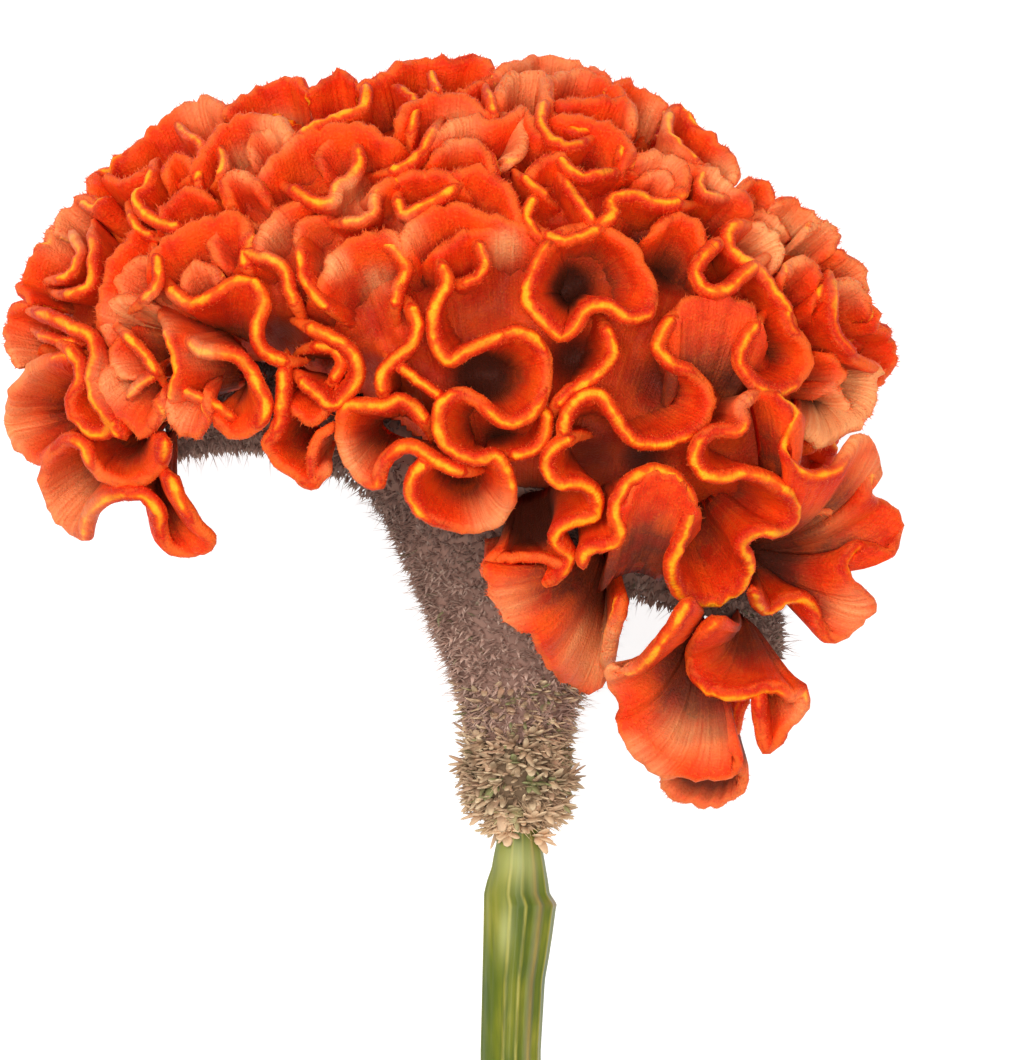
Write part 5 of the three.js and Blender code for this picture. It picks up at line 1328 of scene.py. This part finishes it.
# %% Wrap the stalk
STALK_RINGS = [                 # y, left, right
    (0.7, -3.3, 3.7), (-3, -4, 4.3), (-5, -4.3, 4.6), (-7.2, -5, 4.9), (-9.4, -5.5, 5.2), (-11.3, -5.5, 6.3),
    (-16, -5.6, 5.7), (-20, -5.7, 5.1), (-24, -5.8, 4.4), (-36, -6.1, 3.7), (-60, -6, 3.9), (-82, -6.2, 4),
    (-100, -6.4, 4.2),
]
RIB_ANGLES = (12, 47, 82, 116, 152, 188, 254, 279, 304, 331)   # degrees, seen from the cut end
BROWNED = dict(angle=304, wide=6, much=0.55)                   # one rib has turned brown
RIB = dict(stands=0.05, hollow=0.035, wide=6)                  # shares of the radius; degrees
FLAT = 0.92                                                    # the depth as a share of the width
BEND = dict(from_y=-36, over=64, by=-9)                        # mm, the lower end droops to the ground
SCAR = dict(y=-11, angle=352, tall=0.8, wide=24, stands=0.03)
PALE_HIGHLIGHTS = [(-15.5, 246, 4.5, 13, 0.5), (-4, 262, 4, 55, 0.42)]    # painted highlights: y, degrees, tall, wide, strength
HEIGHTS = np.concatenate([np.linspace(2.5, -14, 46), np.linspace(-15, -99.6, 70)])
CUT = [(0.96, 0.35), (0.8, 0.4), (0.4, 0.3)]                   # share of the radius, mm past the last ring
STALK_POINTS = 180


def rib_distance(degrees):
    """Degrees to the nearest rib, and half the width of the panel there."""
    ribs = np.array(sorted(RIB_ANGLES), float)
    gaps = np.abs((degrees[:, None] - ribs + 180) % 360 - 180)
    order = np.sort(gaps, axis=1)
    return order[:, 0], (order[:, 0] + order[:, 1]) / 2


def build_stalk():
    degrees = np.linspace(0, 360, STALK_POINTS + 1)
    turn = np.radians(degrees)
    nearest, half_panel = rib_distance(degrees)
    ribs = RIB["stands"] * np.exp(-(nearest / RIB["wide"]) ** 2)
    ribs -= RIB["hollow"] * np.clip(nearest / half_panel, 0, 1) ** 2
    rust = BROWNED["much"] * np.exp(-((degrees - BROWNED["angle"]) / BROWNED["wide"]) ** 2)
    off_scar = np.abs((degrees - SCAR["angle"] + 180) % 360 - 180) / SCAR["wide"]
    heights, *sides = zip(*reversed(STALK_RINGS))
    rows, notes = [], []
    for y in HEIGHTS:
        left, right = (np.interp(y, heights, column) for column in sides)
        lean = BEND["by"] * max(0, (BEND["from_y"] - y) / BEND["over"]) ** 2
        fade = np.clip((1.5 - y) / 9, 0.25, 1)
        shelf = np.exp(-off_scar ** 2) * np.exp(-((y - SCAR["y"]) / SCAR["tall"]) ** 2)
        reach = (1 + ribs * fade + SCAR["stands"] * shelf) * (right - left) / 2
        rows.append(np.column_stack([(left + right) / 2 + np.cos(turn) * reach, np.full(len(turn), y),
                                     lean - np.sin(turn) * reach * FLAT]))
        # two painted highlights on the skin
        pale = sum(much * np.exp(-((degrees - angle) / wide) ** 2 - ((y - middle) / tall) ** 2)
                   for middle, angle, tall, wide, much in PALE_HIGHLIGHTS)
        notes.append(np.column_stack([nearest, np.maximum(shelf, rust), pale]))
    rim = rows[-1]
    for share, past in CUT:
        ring = rim.mean(0) + (rim - rim.mean(0)) * share
        ring[:, 1] = HEIGHTS[-1] - past
        rows.append(ring)
        notes.append(np.column_stack([nearest, 0 * turn, np.full(len(turn), 1.0)]))
    bm = bmesh.new()
    bm.verts.layers.float_vector.new("skin")
    wrap_grid(bm, closed_loft(rows), dict(skin=np.stack([notes[0], *notes, notes[-1]])))
    return finished(bm, "stalk_stem")


stalk = {"stalk_stem": build_stalk()}
print("stalk:", len(stalk["stalk_stem"].data.polygons), "faces")

# %% [markdown]
# ## Colours and nodes
#
# Colours are written as they look on a screen, in sRGB hex, and one function turns them to the linear
# values that Blender's shaders take. One more function adds a node with its settings and its links, and
# every material below is a short list of calls to it. Most of them are masks, numbers from 0 to 1 that
# say how much of a paint a place gets, and a loop at the end lays the paints over each other.

# %% Three helpers for materials
def linear(hex_colour):
    """'#RRGGBB' as linear red, green, blue and an alpha of 1."""
    parts = [int(hex_colour[k:k + 2], 16) / 255 for k in (1, 3, 5)]
    return [c / 12.92 if c <= 0.04045 else ((c + 0.055) / 1.055) ** 2.4 for c in parts] + [1.0]


def add(tree, kind, links=None, stops=(), output=0, **settings):
    """Adds a node of a kind, its properties set, its inputs given sockets, hex colours or other values, and
    its colour stops, and gives one of its outputs."""
    made = tree.nodes.new("ShaderNode" + kind)
    for name, value in settings.items():
        setattr(made, name, value)
    for key, value in (links or {}).items():
        if isinstance(value, bpy.types.NodeSocket):
            tree.links.new(value, made.inputs[key])
        else:
            made.inputs[key].default_value = linear(value) if isinstance(value, str) else value
    for k, (at, colour) in enumerate(stops):
        elements = made.color_ramp.elements
        element = elements[k] if k < 2 else elements.new(at)
        element.position = at
        element.color = linear(colour)
    return made.outputs[output]


def new_material(name, constants):
    """A node material whose principled shader has these constants, its tree, and that shader."""
    material = bpy.data.materials.new(name)
    material.use_nodes = True
    shader = material.node_tree.nodes["Principled BSDF"]
    for socket, value in constants.items():
        shader.inputs[socket].default_value = value
    return material, material.node_tree, shader


print("mid grey on a screen is", round(linear("#808080")[0], 3), "of the light of white")

# %% [markdown]
# ### Velvet flesh of the comb
#
# Living plant flesh: wet inside, so light enters it and comes back redder, and covered in soft stubs, so
# it has a faint velvet sheen and no sharp gloss. To the eye it is a saturated orange-red that seems lit
# from within. Across the welt the colour runs from the yellow thread through deep orange to red, and the
# red beside the thread is painted shade of the groove it runs in. Down the sheet it turns to a lighter,
# streaked orange, then to pink and brown, which are painted shade where light never comes. The
# light inside is worked out by the quicker of the two ways that Blender has, which is true enough here,
# as the sheets are many and thin.

# %% Paint the comb
REACH = 16                      # mm, as far as the colours across the welt go
ACROSS = [                      # mm from the thread, and the colour there; the red at 1.5 mm and the browns far out are painted shade
    (0, "#FFA81A"), (0.26, "#FC900C"), (0.5, "#F06008"), (0.9, "#DA3404"), (1.5, "#C01802"),
    (2.6, "#DC2E04"), (4.2, "#EA3604"), (6.5, "#E83A08"), (9.5, "#CE3C18"), (12.5, "#9C381F"),
    (REACH, "#642A1A"),
]
UNDER = 3.4                     # mm, the colours move this far from the thread where it is hidden
STRAY = dict(size=2.5, by=2.2, middle=1.08)   # mm, they stray in patches of a size, and by how much
STREAK = dict(apart=0.75, long=14)   # mm, the fine streaks that run down a sheet
BLOTCH = 5                      # mm, the size of its lighter and darker places
VELVET = 0.45                   # mm, the stubs of the velvet, drawn coarse enough to show


def comb_flesh():
    material, tree, shader = new_material("velvet plant flesh, orange", {
        "Roughness": 0.58, "Specular IOR Level": 0.14, "Sheen Weight": 0.05, "Sheen Roughness": 0.45,
        "Sheen Tint": linear("#FF8A48"), "Subsurface Weight": 0.3, "Subsurface Radius": (1.0, 0.25, 0.08),
        "Subsurface Scale": 2.2 * MM})
    shader.subsurface_method = "BURLEY"
    sheet = add(tree, "Attribute", output="Vector", attribute_name="sheet")
    look = add(tree, "Attribute", output="Vector", attribute_name="look")
    along, off_thread, below = add(tree, "SeparateXYZ", {0: sheet}).node.outputs
    hidden, faded, dark = add(tree, "SeparateXYZ", {0: look}).node.outputs
    place = add(tree, "TexCoord", output="Object")

    # from the thread outwards
    stray = add(tree, "TexNoise", {"Vector": place, "Scale": 1 / (STRAY["size"] * MM), "Detail": 2.0})
    off = add(tree, "Math", {0: off_thread}, operation="ABSOLUTE")
    off = add(tree, "Math", {0: hidden, 1: UNDER, 2: off}, operation="MULTIPLY_ADD")
    off = add(tree, "Math", {0: stray, 1: STRAY["by"], 2: off}, operation="MULTIPLY_ADD")
    off = add(tree, "Math", {0: off, 1: STRAY["middle"]}, operation="SUBTRACT")
    off = add(tree, "Math", {0: off, 1: REACH}, operation="DIVIDE", use_clamp=True)
    colour = add(tree, "ValToRGB", {"Fac": off}, stops=[(mm / REACH, paint) for mm, paint in ACROSS])

    # light and dark streaks that run from the rim to the foot; the light ones begin under the welt
    run = add(tree, "Math", {0: along, 1: STREAK["apart"]}, operation="DIVIDE")
    fall = add(tree, "Math", {0: below, 1: STREAK["long"]}, operation="DIVIDE")
    lines = add(tree, "CombineXYZ", {"X": run, "Y": fall})
    streak = add(tree, "TexNoise", {"Vector": lines, "Scale": 1.0, "Detail": 3.0, "Roughness": 0.6})
    light = add(tree, "MapRange", {"Value": streak, "From Min": 0.52, "From Max": 0.78})
    begins = add(tree, "MapRange", {"Value": below, "From Min": 1.2, "From Max": 5, "To Max": 0.36})
    light = add(tree, "Math", {0: light, 1: begins}, operation="MULTIPLY")
    shade = add(tree, "MapRange", {"Value": streak, "From Min": 0.46, "From Max": 0.25, "To Max": 0.4})

    # a painted highlight on the lip of a sheet whose thread is turned away, and the specks of the velvet
    lip_highlight = add(tree, "MapRange", {"Value": below, "From Min": 0.9, "From Max": 0.0, "To Max": 0.55})
    aside = add(tree, "MapRange", {"Value": off, "From Min": 1.3 / REACH, "From Max": 2.0 / REACH})
    lip_highlight = add(tree, "Math", {0: lip_highlight, 1: aside}, operation="MULTIPLY")
    velvet = add(tree, "TexNoise", {"Vector": place, "Scale": 1 / (VELVET * MM), "Detail": 1.0})
    speck = add(tree, "MapRange", {"Value": velvet, "From Min": 0.52, "From Max": 0.75, "To Max": 0.28})

    # lighter and darker places, the painted shade of the clefts, and what has faded
    blotch = add(tree, "TexNoise", {"Vector": place, "Scale": 1 / (BLOTCH * MM), "Detail": 2.0})
    warm = add(tree, "MapRange", {"Value": blotch, "From Min": 0.5, "From Max": 0.68, "To Max": 0.5})
    ruddy = add(tree, "MapRange", {"Value": blotch, "From Min": 0.48, "From Max": 0.32, "To Max": 0.6})
    cleft_shade = add(tree, "MapRange", {"Value": below, "From Min": 6.0, "From Max": 15.0, "To Max": 0.28})
    paled = add(tree, "MixRGB", {"Fac": streak, "Color1": "#EC7C3C", "Color2": "#F8C080"})
    much = add(tree, "MapRange", {"Value": streak, "From Min": 0.2, "From Max": 0.7, "To Min": 0.55})
    much = add(tree, "Math", {0: much, 1: faded}, operation="MULTIPLY", use_clamp=True)

    # the clefts, the holes and the shaded sheets get painted shade, and the lip a painted highlight
    coats = [(light, "#F56E1E"), (shade, "#B4270A"), (lip_highlight, "#F4762A"), (speck, "#F87A24"),
             (warm, "#F0540C"), (ruddy, "#C01C02"), (cleft_shade, "#8A2412"), (much, paled), (dark, "#522418")]
    for share, paint in coats:
        colour = add(tree, "MixRGB", {"Fac": share, "Color1": colour, "Color2": paint})

    # relief: streaks and velvet
    relief = add(tree, "Math", {0: streak, 1: 1.7, 2: velvet}, operation="MULTIPLY_ADD")
    bump = add(tree, "Bump", {"Height": relief, "Strength": 0.75, "Distance": 0.36 * MM})
    tree.links.new(colour, shader.inputs["Base Color"])
    tree.links.new(bump, shader.inputs["Normal"])
    return material


# %% [markdown]
# ### Stubs, chaff and straw
#
# A stub is living flesh again, but so thin that its tip shines paler than its foot. Chaff and straw are
# dead: bracts like scraps of paper, matt and finely fibred, darker at the foot, partly dust and partly
# painted shade. No two are alike, so the tone that each copy carries picks its colour, and a few are
# still green. Chaff is mauve brown and straw is cream, and both are the same finish with other paints,
# so one function makes them. The chaff just under the comb is painted with its shade, and the lowest
# straw is painted paler.

# %% Paint what is made of many
FIBRE = 0.9                     # mm, the fibres of a bract
DUST_AND_SHADE = 2.2                     # mm, patches painted darker, partly dust and partly painted shade where bracts crowd
SHADED, PALER = 0.78, 0.8    # how far the painted shade under the comb, and the paler paint low on the collar, cover


def bristle_flesh():
    """Stubs of unopened flowers: orange at the foot, peach at the tip."""
    material, tree, shader = new_material("bristle stubs, orange to peach", {"Roughness": 0.6})
    hair = add(tree, "Attribute", output="Vector", attribute_name="hair")
    height, tone, _ = add(tree, "SeparateXYZ", {0: hair}).node.outputs
    length = add(tree, "ValToRGB", {"Fac": height}, stops=[
        (0.0, "#DC3C0A"), (0.5, "#EE5A18"), (1.0, "#FA9A58")])
    fresh = add(tree, "MapRange", {"Value": tone, "To Max": 0.5})
    colour = add(tree, "MixRGB", {"Fac": fresh, "Color1": length, "Color2": "#F0560F"})
    tree.links.new(colour, shader.inputs["Base Color"])
    return material


def dry_bracts(name, foot, middle, tip, other, leafy_share):
    """Dry papery bracts: their colours up a bract, the colour that some of them have instead, and the share
    of them that is green."""
    material, tree, shader = new_material(name, {"Roughness": 0.8, "Specular IOR Level": 0.3})
    hair = add(tree, "Attribute", output="Vector", attribute_name="hair")
    height, tone, dusk = add(tree, "SeparateXYZ", {0: hair}).node.outputs
    colour = add(tree, "ValToRGB", {"Fac": height}, stops=[(0.0, foot), (0.45, middle), (1.0, tip)])
    mixed = add(tree, "MapRange", {"Value": tone, "From Min": 0.35, "From Max": 1.0, "To Max": 0.75})
    leafy = add(tree, "MapRange", {"Value": tone, "From Min": leafy_share + 0.01, "From Max": leafy_share,
                                   "To Max": 0.8})
    place = add(tree, "TexCoord", output="Object")
    fibre = add(tree, "TexNoise", {"Vector": place, "Scale": 1 / (FIBRE * MM), "Detail": 2.0})
    # darker patches: partly dust, partly painted shade where the bracts crowd
    dust_and_shade = add(tree, "TexNoise", {"Vector": place, "Scale": 1 / (DUST_AND_SHADE * MM), "Detail": 3.0})
    dim = add(tree, "MapRange", {"Value": dust_and_shade, "From Min": 0.58, "From Max": 0.36, "To Max": 0.7})
    # painted shade under the comb, and paler paint low on the collar
    comb_shade = add(tree, "Math", {0: dusk, 1: SHADED}, operation="MULTIPLY", use_clamp=True)
    paler_low = add(tree, "Math", {0: dusk, 1: -PALER}, operation="MULTIPLY", use_clamp=True)
    coats = [(mixed, other), (leafy, "#74824A"), (dim, foot), (comb_shade, "#3A2A2A"), (paler_low, "#ECC8A0")]
    for share, paint in coats:
        colour = add(tree, "MixRGB", {"Fac": share, "Color1": colour, "Color2": paint})
    bump = add(tree, "Bump", {"Height": fibre, "Strength": 0.4, "Distance": 0.2 * MM})
    tree.links.new(colour, shader.inputs["Base Color"])
    tree.links.new(bump, shader.inputs["Normal"])
    return material


# %% [markdown]
# ### Skin of the stalk
#
# A green cuticle, slightly waxy, so it is the only part with a soft gloss. The cords are yellow-green,
# the panels a darker green, both drawn out along the stalk. One cord has browned, and two places are
# painted pale as highlights. The cut end shows pale pith inside a green rim.

# %% Paint the stalk
GRAINS = [(1.1, 26, 3.0), (5, 17, 2.0)]   # mm wide, mm long, detail: the fibres, and patches of the skin
FURROW = 20                     # degrees, as far from a cord as the colours of the furrow beside it go


def stalk_skin():
    material, tree, shader = new_material("waxy green stalk skin", {
        "Roughness": 0.42, "Specular IOR Level": 0.22, "Subsurface Weight": 0.1,
        "Subsurface Radius": (0.6, 1.0, 0.3), "Subsurface Scale": 1.0 * MM})
    skin = add(tree, "Attribute", output="Vector", attribute_name="skin")
    off_cord, brown, pale = add(tree, "SeparateXYZ", {0: skin}).node.outputs
    place = add(tree, "TexCoord", output="Object")
    grains = []
    for wide, long, detail in GRAINS:
        drawn = add(tree, "Mapping", {"Vector": place, "Scale": [1 / (mm * MM) for mm in (wide, long, wide)]})
        grains.append(add(tree, "TexNoise", {"Vector": drawn, "Scale": 1.0, "Detail": detail}))
    fibre, patch = grains
    panel = add(tree, "ValToRGB", {"Fac": patch}, stops=[
        (0.32, "#4A5A12"), (0.46, "#606A16"), (0.6, "#787A1C"), (0.75, "#9E9634")])
    cord = add(tree, "ValToRGB", {"Fac": fibre}, stops=[(0.3, "#767226"), (0.5, "#888230"), (0.7, "#A09642")])
    on_cord = add(tree, "MapRange", {"Value": off_cord, "From Min": 4.0, "From Max": 1.0})
    across = add(tree, "Math", {0: off_cord, 1: FURROW}, operation="DIVIDE")
    furrow = add(tree, "ValToRGB", {"Fac": across}, stops=[
        (0.12, "#000000"), (0.26, "#B0B0B0"), (0.36, "#606060"), (0.6, "#000000")])
    dim = add(tree, "MapRange", {"Value": fibre, "From Min": 0.5, "From Max": 0.3, "To Max": 0.45})
    # pale: the pith of the cut end, and the two painted highlights
    coats = [(on_cord, cord), (furrow, "#46561E"), (dim, "#4C5A22"), (brown, "#8C7046"), (pale, "#D0CE86")]
    colour = panel
    for share, paint in coats:
        colour = add(tree, "MixRGB", {"Fac": share, "Color1": colour, "Color2": paint})
    bump = add(tree, "Bump", {"Height": fibre, "Strength": 0.5, "Distance": 0.25 * MM})
    tree.links.new(colour, shader.inputs["Base Color"])
    tree.links.new(bump, shader.inputs["Normal"])
    return material


# %% [markdown]
# ## Dress the frame
#
# Each piece gets its finish and is attached to the body of the model that it moves with, and the solid
# that it stands for is hidden. Nothing here moves, so the body is always the same one.

# %% Give each piece its finish and its place in the frame
flesh, stubs = comb_flesh(), bristle_flesh()
chaff = dry_bracts("dry papery chaff, mauve brown", "#8C6A5C", "#BE9A88", "#E6CCB8", "#AC897A", 0.012)
straw = dry_bracts("dry straw bracts", "#7A624A", "#BC9C7A", "#DCC49E", "#B48A70", 0.07)
skin = stalk_skin()
DRESSING = [                    # pieces, their finish, the solid they stand for, the record's slot
    (comb, flesh, "comb", "crest"), (underside, chaff, "comb", "chaff"), (neck, chaff, "neck", "chaff"),
    (collar, straw, "collar", "straw_florets"), (stalk, skin, "stem", "stalk"),
]
for pieces, finish, node_name, slot in DRESSING:
    for name, piece in pieces.items():
        piece.data.materials.append(stubs if name == "comb_fringe" else finish)
        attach(piece, "root")
        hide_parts(node_name)
        triangles = sum(len(face.vertices) - 2 for face in piece.data.polygons)
        print(f"{name}: {triangles} triangles, {piece.data.materials[0].name}")

# %% [markdown]
# ## The stage
#
# A plain pale floor, which glows a little, so that it stays white under the flower. One large soft light
# from the upper left and a weaker one from the right leave the cups dark on their left and bright on
# their right, and a third one near the camera lights what both of them miss. The camera looks straight
# at the flower's face, so it looks down on the floor, from far off and with a long lens, which keeps near
# folds from growing.

# %% Floor, lights and camera
FLOOR = 3                            # m
FRAME_CENTRE = (-1.67, 51.67, 12)    # mm, in the flower's frame
FRAME_HEIGHT = 176.67                # mm, what the picture shows from top to bottom
LENS, SENSOR = 280, 36               # mm
LIGHTS = [                           # name, place and width in m, watts
    ("key", (-0.5, 0.3, 1.15), 0.8, 10.5), ("fill", (0.8, -0.3, 0.9), 1.0, 3),
    ("front", (0.05, -0.35, 1.8), 0.6, 15),
]


def plain_floor():
    bm = bmesh.new()
    bmesh.ops.create_grid(bm, x_segments=1, y_segments=1, size=FLOOR)
    mesh = bpy.data.meshes.new("floor")
    bm.to_mesh(mesh)
    bm.free()
    board = new_material("matt white board", {
        "Base Color": linear("#B0B0AF"), "Emission Color": linear("#FFFFFF"), "Emission Strength": 0.8,
        "Roughness": 0.9})[0]
    mesh.materials.append(board)
    as_object(mesh, False)


def soft_light(name, place, width, watts):
    """A square light, turned to the flower."""
    lamp = bpy.data.lights.new(name, "AREA")
    lamp.size, lamp.energy = width, watts
    light = bpy.data.objects.new(name, lamp)
    light.location = place
    light.rotation_euler = (-Vector(place)).to_track_quat("-Z", "Y").to_euler()
    bpy.context.scene.collection.objects.link(light)


def far_camera():
    lens = bpy.data.cameras.new("camera")
    lens.lens, lens.sensor_width = LENS, SENSOR
    camera = bpy.data.objects.new("camera", lens)
    away = FRAME_HEIGHT * LENS / SENSOR
    camera.location = LAY @ (Vector(FRAME_CENTRE) + Vector((0, 0, away)))
    camera.rotation_euler = (TILT, 0, 0)
    bpy.context.scene.collection.objects.link(camera)
    bpy.context.scene.camera = camera
    return away


plain_floor()
for name, place, width, watts in LIGHTS:
    soft_light(name, place, width, watts)
print("the camera is", round(far_camera()), "mm from the middle of the flower")
world = bpy.data.worlds.new("studio")
world.use_nodes = True
world.node_tree.nodes["Background"].inputs["Color"].default_value = linear("#FFFFFF")
world.node_tree.nodes["Background"].inputs["Strength"].default_value = 0.4
bpy.context.scene.world = world
bpy.context.scene.view_settings.view_transform = "Standard"
